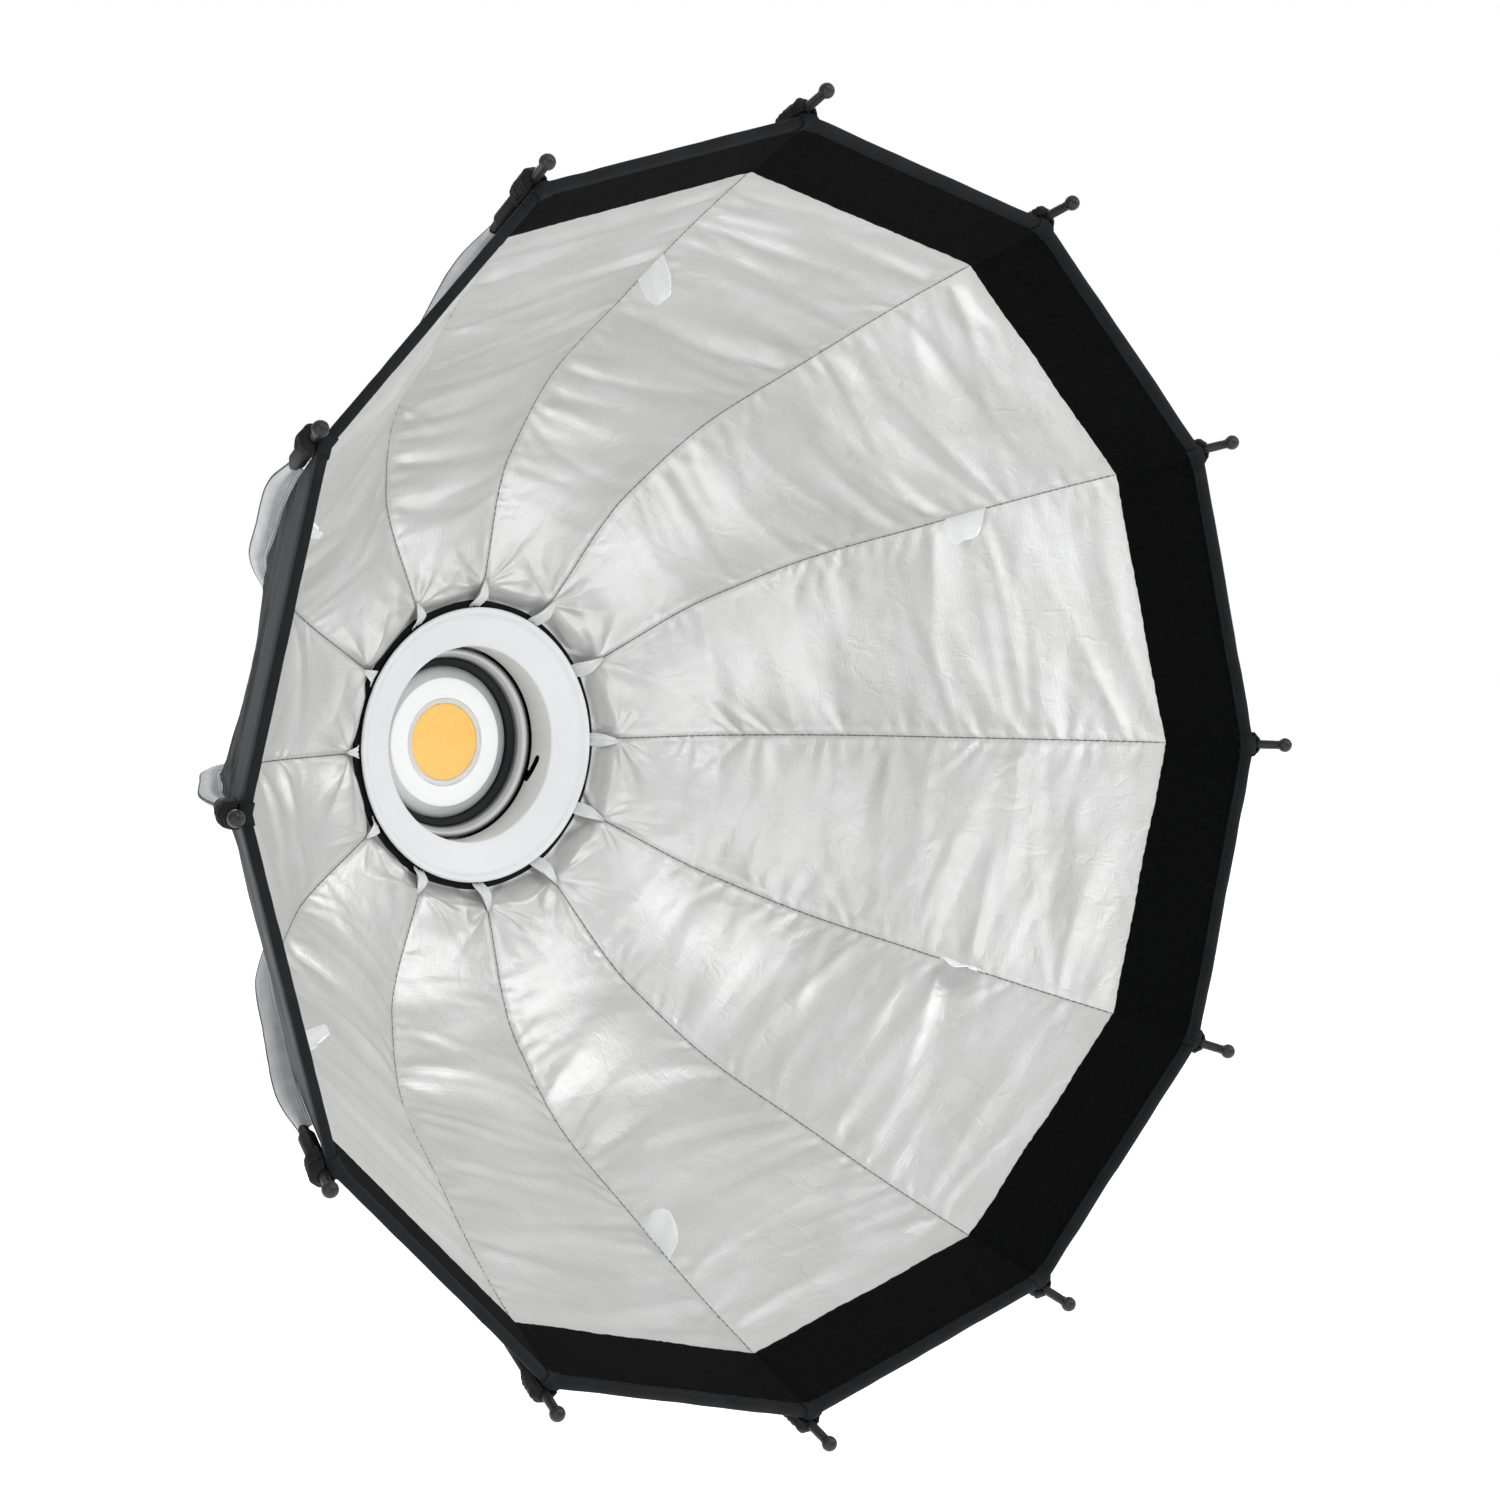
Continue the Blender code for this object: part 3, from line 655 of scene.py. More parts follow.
def panel_points(panel, u, s, extra):
    """Points of the panel between rods panel and panel + 1, extra metres in from the lining."""
    between = 4 * u * (1 - u)
    place = s + EDGE_BOW * between ** 0.8 * (1 - smooth(s / 0.04))
    radius, y = seam_at(place)
    dip = (1 - smooth(s / (0.0115 - 0.0045 * between))) ** 1.3
    base = across_panel(panel, u, radius - DIP_IN * dip, y + DIP_BACK * dip)
    height = lift(panel, u, place) * (1 - 0.75 * dip) + extra
    return base - panel_out(panel, place) * height[..., None]


def half_name(panel, side):
    """Name of a half panel and its rod's index: side 0 is sewn to rod panel, side 1 to the next one."""
    rod = panel if side == 0 else (panel + 1) % SIDES
    return f"{rod + 1:02d}" + ("a" if side == 0 else "b"), rod


def bend(piece):
    """Bakes a fabric piece's world placement into its mesh."""
    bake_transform(piece)


def emit_halves(stem, panel, inner, outer, looks, node=None, maps=None):
    """Cuts a layer of a panel in two at its middle and makes each half a piece of its own.

    looks holds one material, or two when the outside differs from the inside and the rim.
    Without a node, each half stands for its own gore.
    """
    n_in, n_out = grid_normals(inner), grid_normals(outer)
    toward = polar(1.0, 0.0, (panel + 0.5) * STEP)
    flip = bool((n_in[len(inner) // 2, COLUMNS] * toward).sum() > 0)
    n_in, n_out = (-n_in, n_out) if flip else (n_in, -n_out)
    made = {}
    for side, pick in enumerate(HALVES):
        points, lots = slab(inner[:, pick], outer[:, pick], flip)
        normals = np.concatenate([n_in[:, pick].reshape(-1, 3), n_out[:, pick].reshape(-1, 3)])
        uvs = {layer: np.tile(values[:, pick].reshape(-1, 2), (2, 1))
               for layer, values in (maps or {}).items()}
        name, rod = half_name(panel, side)
        piece = make_object(f"{stem}_{name}", points, np.concatenate(lots), looks,
                            np.repeat([0, len(looks) - 1, 0], [len(lot) for lot in lots]), normals, uvs)
        bend(piece)
        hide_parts(node or f"gore_{name}")
        made[name] = piece
    return made


def make_canopy():
    u, s = np.meshgrid(ACROSS, panel_rows())
    width = seam_at(s)[0] * CHORD
    edge = np.minimum(u, 1 - u) * width
    maps = {"Cloth": np.stack([(u - 0.5) * width, s], -1), "Edge": np.stack([edge, edge], -1)}
    made = {}
    for panel in range(SIDES):
        inner, outer = (panel_points(panel, u, s, extra) for extra in (0.0, -FABRIC))
        made.update(emit_halves("canopy", panel, inner, outer, [LINING, SHELL], maps=maps))
    return made


def make_band():
    """The loop tape inside the mouth, in half panels, mitred at the corners."""
    u, v = np.meshgrid(ACROSS, np.linspace(0, 1, BAND_ROWS))
    flat = ACROSS * MOUTH_SPAN
    for panel in range(SIDES):
        ragged = 0.00035 * noise(flat, 0.0, 0.0016, 500 + panel) + 0.0007 * noise(flat, 0.0, 0.03, 520 + panel)
        s = np.clip(BAND_START + ragged[None, :] * (1 - v) + v * BAND_WIDTH, 0, SEAM_TOTAL)
        radius, y = seam_at(s)
        low, high = u * radius * CHORD, (1 - u) * radius * CHORD
        wave = 0.00035 * noise(u * MOUTH_SPAN, s, 0.035, 540 + panel)
        pile = 0.00010 * noise(u * MOUTH_SPAN, s, 0.0022, 560 + panel)
        round_in = 0.0005 * smooth(1 - v / 0.03)
        mitre = 0.0040 + 0.010 * v
        overlap = 0.00045 * smooth((mitre - low) / 0.0006 + 0.5)
        edge = smooth(low / 0.004) * smooth(high / 0.004)
        top = (BAND_GAP + BAND_THICKNESS + wave * edge * smooth(v / 0.2) + pile - round_in
               + overlap * (0.4 + 0.6 * edge))
        base, out = across_panel(panel, u, radius, y), panel_out(panel, s)
        emit_halves("loop_band", panel, base - out * top[..., None], base - out * BAND_GAP, [LOOP],
                    "loop_band")


OUTSIDE_LEG = 9                   # faces of the hem's section on the outside of the mouth


def hem_profile():
    """Section of the binding as (along, out) from the rim of the mouth, along pointing out of it."""
    outside, inside = FABRIC + 0.0003, -(0.0007 + BAND_THICKNESS)
    top, low = outside + HEM_THICKNESS + 0.0002, inside - HEM_THICKNESS - 0.0002
    middle, radius = (top + low) / 2, (top - low) / 2
    nose = [(0.0004 + radius * 0.55 * math.cos(turn), middle + radius * math.sin(turn))
            for turn in np.radians(np.linspace(90, -90, 11))]
    leg_out = [(-HEM_OUTSIDE, outside + 0.00005), (-HEM_OUTSIDE - 0.0001, outside + 0.0004),
               (-HEM_OUTSIDE + 0.0004, top - 0.00005), (-0.0078, top), (-0.0070, top - 0.0002), (-0.0062, top),
               (-0.0030, top + 0.0001)]
    leg_in = [(-0.0008, low - 0.0001), (-0.0016, low), (-0.0021, low + 0.0003), (-0.0026, low + 0.00002),
              (-HEM_INSIDE + 0.0005, low + 0.0001), (-HEM_INSIDE + 0.0003, inside - 0.0003),
              (-HEM_INSIDE + 0.0004, inside + 0.00005)]
    return leg_out + nose + leg_in + [(0.0, inside + 0.0001), (0.0, outside - 0.0001)]


def make_hem():
    profile = hem_profile()
    flat = ACROSS * MOUTH_SPAN
    for panel in range(SIDES):
        middle = (panel + 0.5) * STEP
        rim = across_panel(panel, ACROSS, *seam_at(np.full(len(ACROSS), SEAM_TOTAL)))
        dr, dy = seam_direction(SEAM_TOTAL - 0.004, SQUEEZE)
        out, along = polar(-dy, dr, middle), polar(dr, dy, middle)
        outward, tangent = polar(1.0, 0.0, middle), polar(1.0, 0.0, middle + 90)
        wave_along = 0.00035 * noise(flat, 3.0, 0.012, 300 + panel)
        wave_out = 0.00025 * noise(flat, 7.0, 0.007, 320 + panel)
        rings = []
        for j, c in enumerate(ACROSS):
            # the ends stay in the planes of the rods: each point is sheared along the rim
            shear = math.tan(HALF_ANGLE) * (2 * c - 1)
            ring = []
            for a, o in profile:
                hold = (1.0 if abs(a) < 0.009 else 0.3) * (1 if a > -0.001 else 0.6)
                offset = along * (a + wave_along[j] * hold) + out * (o + wave_out[j] * 0.5 * np.sign(o))
                ring.append(rim[j] + offset + tangent * (float(offset @ outward) * shear))
            rings.append(ring)
        rings = np.array(rings)
        for side, pick in enumerate(HALVES):
            points, faces = loft(rings[pick])
            name, rod = half_name(panel, side)
            # faces of the outside leg take the lighter, painted-light copy of the binding
            looks = [1 if k % len(profile) < OUTSIDE_LEG else 0 for k in range(len(faces))]
            piece = make_object(f"hem_{name}", points, faces, [BINDING, BINDING_PAINTED_LIT], looks)
            fix_normals(piece, 60)
            bend(piece)
            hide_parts("hem_binding")


# thread radius, stitch length, pitch and rise
SEAM_STITCH, SLEEVE_STITCH = (0.00017, 0.0024, 0.0033, 0.00030), (0.00014, 0.0017, 0.0025, 0.00012)


def stitch_row(points, radius, long, pitch, lift_by, out):
    """Small thread stitches along a line of points, each sunk at its ends."""
    where = lengths_of(points)
    total, at = where[-1], pitch / 2
    t = np.linspace(-0.5, 0.5, 5)
    rise = lift_by * (1 - (2 * t) ** 2) - radius * 0.7 * (2 * t) ** 4
    thickness = radius * np.sqrt(np.maximum(1 - (1.9 * t) ** 6 * 0.6, 0.2))
    all_points, all_faces = [], []
    count = 0
    while at + long / 2 < total:
        here, n = (np.stack([np.interp(at + t * long, where, row[:, i]) for i in range(3)], -1)
                   for row in (points, out))
        p, f = loft(tube_along(here + n * rise[:, None], thickness, 5, n[2]), True, count)
        all_points.append(p)
        all_faces += f
        count += len(p)
        at += pitch
    return np.concatenate(all_points), all_faces


def make_seam_threads():
    s = np.linspace(0.0105, BAND_START - 0.001, 220)
    radius, y = seam_at(s)
    dr, dy = seam_direction(s)
    for rod in range(SIDES):
        line = polar(radius, y, rod * STEP)
        inward = -polar(-dy, dr, rod * STEP)
        points, faces = stitch_row(line, *SEAM_STITCH, inward)
        piece = make_object(f"seam_thread_{rod + 1:02d}", points, faces, [THREAD])
        fix_normals(piece)
        finish(piece, rod_body(rod))


# ---- sleeves, rods and tips ----
def rod_curve():
    slope = math.radians(TIP_SLOPE)
    ball, back = np.array([TIP_RADIUS, TIP_Y]), np.array([-math.sin(slope), math.cos(slope)])
    hinge = np.array([HINGE_RADIUS, HINGE_Y])
    seam = np.array(SEAM)
    route = []
    for i in range(2, 7):
        along = seam[i + 1] - seam[i - 1]
        along = along / np.linalg.norm(along)
        route.append(seam[i] + np.array([-along[1], along[0]]) * ROD_STANDOFFS[i - 2])
    straight = (route[0] - hinge) / np.linalg.norm(route[0] - hinge)
    route = [hinge + straight * 0.020] + route
    route += [ball + back * (FERRULE_START + 0.004), ball + back * (FERRULE_START - 0.012)]
    return np.vstack([hinge[None], spline(route, 10)])


ROD_CURVE = rod_curve()
SLEEVE_START, SLEEVE_END = 0.0340, SEAM_TOTAL - 0.0450    # along the seam
SLEEVE_TAPER, SLEEVE_MIDDLE, SLEEVE_CLOTH = 0.0550, 0.0055, 0.0003
SLEEVE_SECTION = [                 # (out from the seam, half width)
    (0.0010, 0.00045), (0.0022, 0.00045), (0.0030, 0.0008), (0.0042, 0.0017), (0.0055, 0.0021),
    (0.0068, 0.0019), (0.0080, 0.0012), (0.0088, 0.0006), (0.0094, 0.0005),
]


def make_sleeve(rod):
    """A flattened fabric tube round the rod, sewn along the seam of the canopy."""
    s = np.linspace(SLEEVE_START, SLEEVE_END, 120)
    radius, y = seam_at(s)
    dr, dy = seam_direction(s)
    azimuth = rod * STEP
    out, aside = polar(-dy, dr, azimuth), polar(1.0, 0.0, azimuth + 90)
    line = polar(radius, y, azimuth)
    section = SLEEVE_SECTION + [(o, -w) for o, w in SLEEVE_SECTION[::-1]]
    outer, inner = [], []
    ripple = 0.00025 * noise(s, 0.0, 0.010, 240 + rod)
    squash = 1 + 0.12 * noise(s, 1.0, 0.018, 260 + rod)
    rod_off = rod_offset(s)
    for i in range(len(s)):
        shift = np.clip(rod_off[i] - SLEEVE_MIDDLE, -0.001, 0.004)
        middle = SLEEVE_MIDDLE + shift
        narrow = 1 - 0.45 * smooth((s[i] - SLEEVE_END + SLEEVE_TAPER) / SLEEVE_TAPER)
        grown = [(o + max(0, (o - 0.002) / 0.0035 if o < SLEEVE_MIDDLE else 1) * shift, w) for o, w in section]
        grown = [(middle + (o - middle) * (narrow if o > middle else 1), w) for o, w in grown]
        outer.append([line[i] + out[i] * o + aside * (w * squash[i] + ripple[i] * (o > 0.003)) for o, w in grown])
        inward = [(o + SLEEVE_CLOTH * ((o < 0.0025 + shift) - int(o > 0.0085 + shift)),
                   np.sign(w) * max(abs(w) - SLEEVE_CLOTH, 0.00012), o > 0.003) for o, w in grown]
        inner.append([line[i] + out[i] * o + aside * (w * squash[i] + ripple[i] * free) for o, w, free in inward])
    sides = len(section)
    p_out, f_out = loft(outer, False)
    p_in, f_in = loft(inner, False, len(p_out), True)
    caps = []
    for row in (0, len(s) - 1):
        for j in range(sides):
            a, b = row * sides + j, row * sides + (j + 1) % sides
            quad = [a, b, b + len(p_out), a + len(p_out)]
            caps.append(quad if row else quad[::-1])
    last = len(SLEEVE_SECTION) - 1       # the piping runs round the outer edge
    looks = [1 if last - 1 <= j <= last + 1 else 0 for j in range(sides)] * (len(s) - 1)
    looks += [0] * (len(f_in) + len(caps))
    piece = make_object(f"rod_sleeve_{rod + 1:02d}", np.concatenate([p_out, p_in]), f_out + f_in + caps,
                        [SLEEVE, PIPING], looks)
    fix_normals(piece)
    finish(piece, rod_body(rod))
    all_points, all_faces, count = [], [], 0
    for side in (-1, 1):
        track = line + out * 0.0026 + aside * (side * 0.00055)
        points, faces = stitch_row(track, *SLEEVE_STITCH, np.tile(aside * side, (len(s), 1)))
        all_points.append(points)
        all_faces += [[v + count for v in f] for f in faces]
        count += len(points)
    thread = make_object(f"sleeve_thread_{rod + 1:02d}", np.concatenate(all_points), all_faces, [THREAD])
    fix_normals(thread)
    finish(thread, rod_body(rod))


def rod_offset(s):
    """How far the rod's centre line stands out from the seam at s."""
    where = lengths_of(ROD_CURVE)
    fine = np.linspace(0, where[-1], 3000)
    rod = np.stack([np.interp(fine, where, ROD_CURVE[:, 0]), np.interp(fine, where, ROD_CURVE[:, 1])], -1)
    found = []
    for r, v, a, b in zip(*seam_at(s), *seam_direction(s)):
        d = rod - np.array([r, v])
        near = np.argmin(np.abs(d @ np.array([a, b])) + 1e-3 * np.linalg.norm(d, axis=1))
        found.append(d[near] @ np.array([-b, a]))
    return np.array(found)


def turned(name, outline, look, segments=ROUND, sharp=32):
    """A ring turned about Y from a closed outline of (radius, y); on the axis it closes itself."""
    bm = bmesh.new()
    rings = []
    for radius, y in outline:
        if radius == 0:
            rings.append([bm.verts.new((0, y, 0))] * segments)
        else:
            turns = [2 * math.pi * i / segments for i in range(segments)]
            rings.append([bm.verts.new((radius * math.cos(a), y, radius * math.sin(a))) for a in turns])
    if outline[0][0] > 0:
        rings.append(rings[0])
    for first, second in zip(rings, rings[1:]):
        for i in range(segments):
            k = (i + 1) % segments
            corners = list(dict.fromkeys([first[i], first[k], second[k], second[i]]))
            if len(corners) > 2:
                bm.faces.new(corners)
    return object_from(bm, name, look, sharp)


def rounded(outline, radius=0.0004, steps=3):
    """Rounds every corner of a closed outline of (radius, y)."""
    points = [np.array(p, float) for p in outline]
    made = []
    for i, p in enumerate(points):
        a, b = points[i - 1] - p, points[(i + 1) % len(points)] - p
        la, lb = np.linalg.norm(a), np.linalg.norm(b)
        cut = min(radius, la * 0.45, lb * 0.45)
        start, end = p + a / la * cut, p + b / lb * cut
        for t in np.linspace(0, 1, steps + 1):
            made.append(tuple((1 - t) ** 2 * start + 2 * t * (1 - t) * p + t * t * end))
    return made


def paint(piece, look, where):
    """Gives another material to the faces of a turned piece for which where(radius, y) is true."""
    mesh = piece.data
    mesh.materials.append(look)
    for face in mesh.polygons:
        corners = [mesh.vertices[i].co for i in face.vertices]
        if where(np.mean([math.hypot(co.x, co.z) for co in corners]), face.center.y):
            face.material_index = len(mesh.materials) - 1


def applied(piece):
    """The mesh of a piece with its modifiers applied."""
    bpy.context.view_layer.update()
    return bpy.data.meshes.new_from_object(piece.evaluated_get(bpy.context.evaluated_depsgraph_get()))


def boolean(target, tool, operation):
    cut = target.modifiers.new(operation.lower(), "BOOLEAN")
    cut.operation = operation
    cut.solver = "EXACT"
    cut.object = tool
    cut.material_mode = "TRANSFER"
    result = applied(target)
    target.modifiers.clear()
    target.data = result
    bpy.data.objects.remove(tool)


def place_at_rod(piece, rod):
    """Turns a piece made in the plane of rod 1 to another rod, in its mesh."""
    piece.data.transform(Matrix.Rotation(-math.radians(rod * STEP), 4, "Y"))


def tip_outline():
    """(radius, distance back from the ball's centre)."""
    ball = [(BALL_RADIUS * math.cos(t), -BALL_RADIUS * math.sin(t))
            for t in np.radians(np.linspace(-52, 90, 15))]
    ball[-1] = (0, -BALL_RADIUS)
    neck = [(STUB_RADIUS + 0.0001, 0.0034), (STUB_RADIUS - 0.0001, 0.0040), (STUB_RADIUS, 0.0052)]
    stub = [(STUB_RADIUS + 0.0001, FERRULE_END - 0.003), (STUB_RADIUS + 0.0003, FERRULE_END - 0.001)]
    ferrule = [(FERRULE_RADIUS - 0.0004, FERRULE_END), (FERRULE_RADIUS - 0.0001, FERRULE_END + 0.0005),
               (FERRULE_RADIUS, FERRULE_END + 0.0016), (FERRULE_RADIUS + 0.0001, FERRULE_START - 0.0012),
               (FERRULE_RADIUS - 0.0001, FERRULE_START - 0.0004), (FERRULE_RADIUS - 0.0005, FERRULE_START + 0.0005),
               (FERRULE_RADIUS - 0.0009, FERRULE_START + 0.0010), (0.0024, FERRULE_START + 0.0014),
               (0.0023, FERRULE_START + 0.0066), (0.0020, FERRULE_START + 0.0070)]
    bore = ROD_RADIUS + 0.0004
    inside = [(bore, FERRULE_START + 0.0070), (bore, FERRULE_START - 0.0125), (0, FERRULE_START - 0.0125)]
    return ball[::-1] + neck + stub + ferrule + inside


def make_tip(rod):
    piece = turned(f"tip_{rod + 1:02d}", tip_outline(), TIP_PLASTIC, 32, 40)
    paint(piece, FERRULE, lambda radius, back: back > FERRULE_END - 0.0005)
    slope = math.radians(TIP_SLOPE)
    back = Vector((-math.sin(slope), math.cos(slope), 0))
    side = Vector((back.y, -back.x, 0))
    basis = Matrix((side, back, side.cross(back))).transposed().to_4x4()
    basis.translation = Vector((TIP_RADIUS, TIP_Y, 0))
    piece.data.transform(basis)
    place_at_rod(piece, rod)
    finish(piece, rod_body(rod), f"rod_tip_{rod + 1:02d}")


def arc(centre, radius, start, end, count):
    turns = [math.radians(start + (end - start) * i / (count - 1)) for i in range(count)]
    return [(centre[0] + radius * math.cos(t), centre[1] + radius * math.sin(t)) for t in turns]


def root_outline():
    """The rod's root round the hinge wire: a lever to the collar and a socket for the rod."""
    lever = 180 + ROD_FOLD / 2
    run = math.degrees(math.atan2(ROD_CURVE[1][1] - HINGE_Y, ROD_CURVE[1][0] - HINGE_RADIUS))
    finger = (LEVER * math.cos(math.radians(lever)), LEVER * math.sin(math.radians(lever)))
    socket = (0.011 * math.cos(math.radians(run)), 0.011 * math.sin(math.radians(run)))
    return (arc(finger, 0.0014, lever - 90, lever + 90, 9) + arc((0, 0), 0.0038, lever + 35, run + 360 - 35, 9)
            + arc(socket, 0.0024, run - 90, run + 90, 9) + arc((0, 0), 0.0038, run + 35, lever - 35, 12))


def plate(name, outline, low, high, look):
    bm = bmesh.new()
    bottom = [bm.verts.new((x, y, low)) for x, y in outline]
    top = [bm.verts.new((x, y, high)) for x, y in outline]
    bm.faces.new(bottom)
    bm.faces.new(top)
    for i in range(len(outline)):
        k = (i + 1) % len(outline)
        bm.faces.new((bottom[i], bottom[k], top[k], top[i]))
    return object_from(bm, name, look)


def make_rod_mesh():
    """The rod with its root, in the plane of rod 1."""
    root = plate("rod_root", root_outline(), -ROOT_HALF_WIDTH, ROOT_HALF_WIDTH, STEEL)
    eye = plate("rod_eye", arc((0, 0), WIRE_HOLE_RADIUS, 0, 350, 24), -0.01, 0.01, STEEL)
    boolean(root, eye, "DIFFERENCE")
    bevel = root.modifiers.new("bevel", "BEVEL")
    bevel.width, bevel.segments, bevel.limit_method = 0.0004, 2, "ANGLE"
    bevel.angle_limit = math.radians(50)
    mesh = applied(root)
    bpy.data.objects.remove(root)
    mesh.transform(Matrix.Translation((HINGE_RADIUS, HINGE_Y, 0)))
    path = ROD_CURVE.copy()
    path[0] = path[0] + (path[1] - path[0]) * 0.35
    path3 = np.stack([path[:, 0], path[:, 1], path[:, 0] * 0], -1)
    points, faces = loft(tube_along(path3, ROD_RADIUS, 16, np.array([0.0, 0.0, 1.0])))
    bm = bmesh.new()
    bm.from_mesh(mesh)
    verts = [bm.verts.new(p) for p in points]
    for f in faces:
        bm.faces.new([verts[i] for i in f])
    bmesh.ops.recalc_face_normals(bm, faces=bm.faces)
    bm.to_mesh(mesh)
    bm.free()
    shade(mesh, 35)
    return mesh


def make_rods():
    mesh = make_rod_mesh()
    for rod in range(SIDES):
        piece = link(f"spring_rod_{rod + 1:02d}", mesh.copy())
        place_at_rod(piece, rod)
        finish(piece, rod_body(rod), rod_body(rod))
        make_sleeve(rod)
        make_tip(rod)
        make_pocket(rod)
        make_corner_strap(rod)


def sheet_object(name, top, low, look):
    points, lots = slab(top, low)
    return make_object(name, points, np.concatenate(lots), [look])


POCKET_START, POCKET_END = 0.0128, 0.0300     # back from the ball


def make_pocket(rod):
    """Black webbing sewn on the corner of the hem, which bulges over the stub and the ferrule."""
    slope = math.radians(TIP_SLOPE)
    back = np.array([-math.sin(slope), math.cos(slope), 0])
    out = np.array([math.cos(slope), math.sin(slope), 0])
    ball = np.array([TIP_RADIUS, TIP_Y, 0])
    side = np.array([0, 0, 1.0])
    rng = np.random.default_rng(310 + rod)
    shift, tilt = rng.uniform(0, 6), rng.normal(0, 0.0003)
    turns = np.radians(np.linspace(-122, 122, 49))
    outer, under = [], []
    for v in np.linspace(0, 1, 25):
        at = POCKET_START + (POCKET_END - POCKET_START) * v
        reach = 0.0023 + 0.0024 * smooth(v / 0.16) ** 0.6 - 0.0008 * smooth((v - 0.6) / 0.4) ** 2
        pleat = 0.00016 * np.cos(7 * turns + shift + 3 * v) \
            + 0.00030 * noise(turns * 0.004, at, 0.003, 330 + rod)
        round_off = reach + pleat * smooth(v / 0.1)
        x = round_off * np.sin(turns) * 1.02 + tilt * v
        h = np.maximum(round_off * np.cos(turns), -0.0024 - 0.0008 * smooth((v - 0.6) / 0.3))
        x = np.concatenate([[x[0] - 0.0016], x, [x[-1] + 0.0016]])
        h = np.concatenate([[h[0] - 0.0003], h, [h[-1] - 0.0003]])
        n = np.stack([np.gradient(h), -np.gradient(x)], -1)
        n /= -np.linalg.norm(n, axis=1, keepdims=True)
        thick = 0.0007 + 0.0002 * math.cos(40 * v)
        centre = ball + back * at
        outer.append(centre + np.outer(x + n[:, 0] * thick, side) + np.outer(h + n[:, 1] * thick, out))
        under.append(centre + np.outer(x, side) + np.outer(h, out))
    piece = sheet_object(f"corner_pocket_{rod + 1:02d}", np.array(outer), np.array(under), STRAP)
    place_at_rod(piece, rod)
    fix_normals(piece, 70)
    finish(piece, rod_body(rod))


def make_corner_strap(rod):
    """A short overlay of binding that crosses the hem at its corner."""
    profile = np.array(hem_profile()[2:-2])
    r, y = seam_at(SEAM_TOTAL)
    dr, dy = seam_direction(SEAM_TOTAL - 0.004)
    rim, out, along = np.array([r, y, 0]), np.array([-dy, dr, 0]), np.array([dr, dy, 0])
    centre = profile.mean(0)
    normals = []
    for i, p in enumerate(profile):
        d = profile[min(i + 1, len(profile) - 1)] - profile[max(i - 1, 0)]
        n = np.array([-d[1], d[0]]) / max(np.linalg.norm(d), 1e-9)
        normals.append(-n if n @ (p - centre) < 0 else n)
    normals = np.array(normals)
    section = np.concatenate([profile + normals * 0.0009, (profile - normals * 0.0001)[::-1]])
    half = 0.0042
    rings = []
    for z in np.linspace(-half, half, 13):
        ring = rim + np.outer(section[:, 0], along) + np.outer(section[:, 1], out)
        # the panels fall away from the rod's plane on both sides
        ring[:, 0] -= abs(z) * math.tan(HALF_ANGLE) * 0.92
        ring[:, 2] += z
        rings.append(ring)
    points, faces = loft(rings)
    piece = make_object(f"corner_strap_{rod + 1:02d}", points, faces, [BINDING])
    place_at_rod(piece, rod)
    fix_normals(piece, 50)
    finish(piece, rod_body(rod))


# ---- tabs ----
def ribbon(name, path, halves, look, thickness, pleat, columns=13):
    """A pleated tape along a path in the plane of rod 1, with a half width at each point."""
    path = np.asarray(path, float)
    ahead = np.gradient(path, axis=0)
    ahead /= np.linalg.norm(ahead, axis=1, keepdims=True)
    aside = np.array([0, 0, 1.0])
    up = np.cross(aside, ahead)
    up /= np.linalg.norm(up, axis=1, keepdims=True)
    c = np.linspace(-1, 1, columns)
    bump = pleat * (np.cos(c * 3.2 * math.pi) * 0.5 + 0.35 * np.cos(c * 1.3 * math.pi))
    top = path[:, None] + aside * (halves[:, None, None] * c[None, :, None]) \
        + up[:, None] * (bump[None, :, None] + thickness)
    return sheet_object(name, top, top - up[:, None] * thickness, look)


def make_tie_tabs():
    route = [(0.0650, -0.0338), (0.0668, -0.0347), (0.0682, -0.0366), (0.0698, -0.0396),
             (0.0722, -0.0428), (0.0758, -0.0442), (0.0798, -0.0450)]
    path2 = spline(route, 6)
    path = np.stack([path2[:, 0], path2[:, 1], path2[:, 0] * 0], -1)
    where = lengths_of(path)
    tape = float(where[-1])
    halves = np.interp(where / tape, [0, 0.3, 0.55, 0.8, 1.0], [0.0030, 0.0036, 0.0032, 0.0018, 0.0005])
    for rod in range(SIDES):
        rng = np.random.default_rng(400 + rod)
        piece = ribbon(f"tie_tab_{rod + 1:02d}", path, halves * rng.uniform(0.9, 1.1), TIE_TAPE, 0.0004, 0.0005)
        twist = rng.normal(0, 0.0007)
        for v in piece.data.vertices:
            v.co.z += twist * (v.co.x - 0.064) / 0.016
        place_at_rod(piece, rod)
        fix_normals(piece, 60)
        finish(piece, "hub")


TAB_PLACE, TAB_LENGTH, TAB_REACH, TAPE_THICKNESS = 0.2115, 0.0210, 0.0175, 0.0005


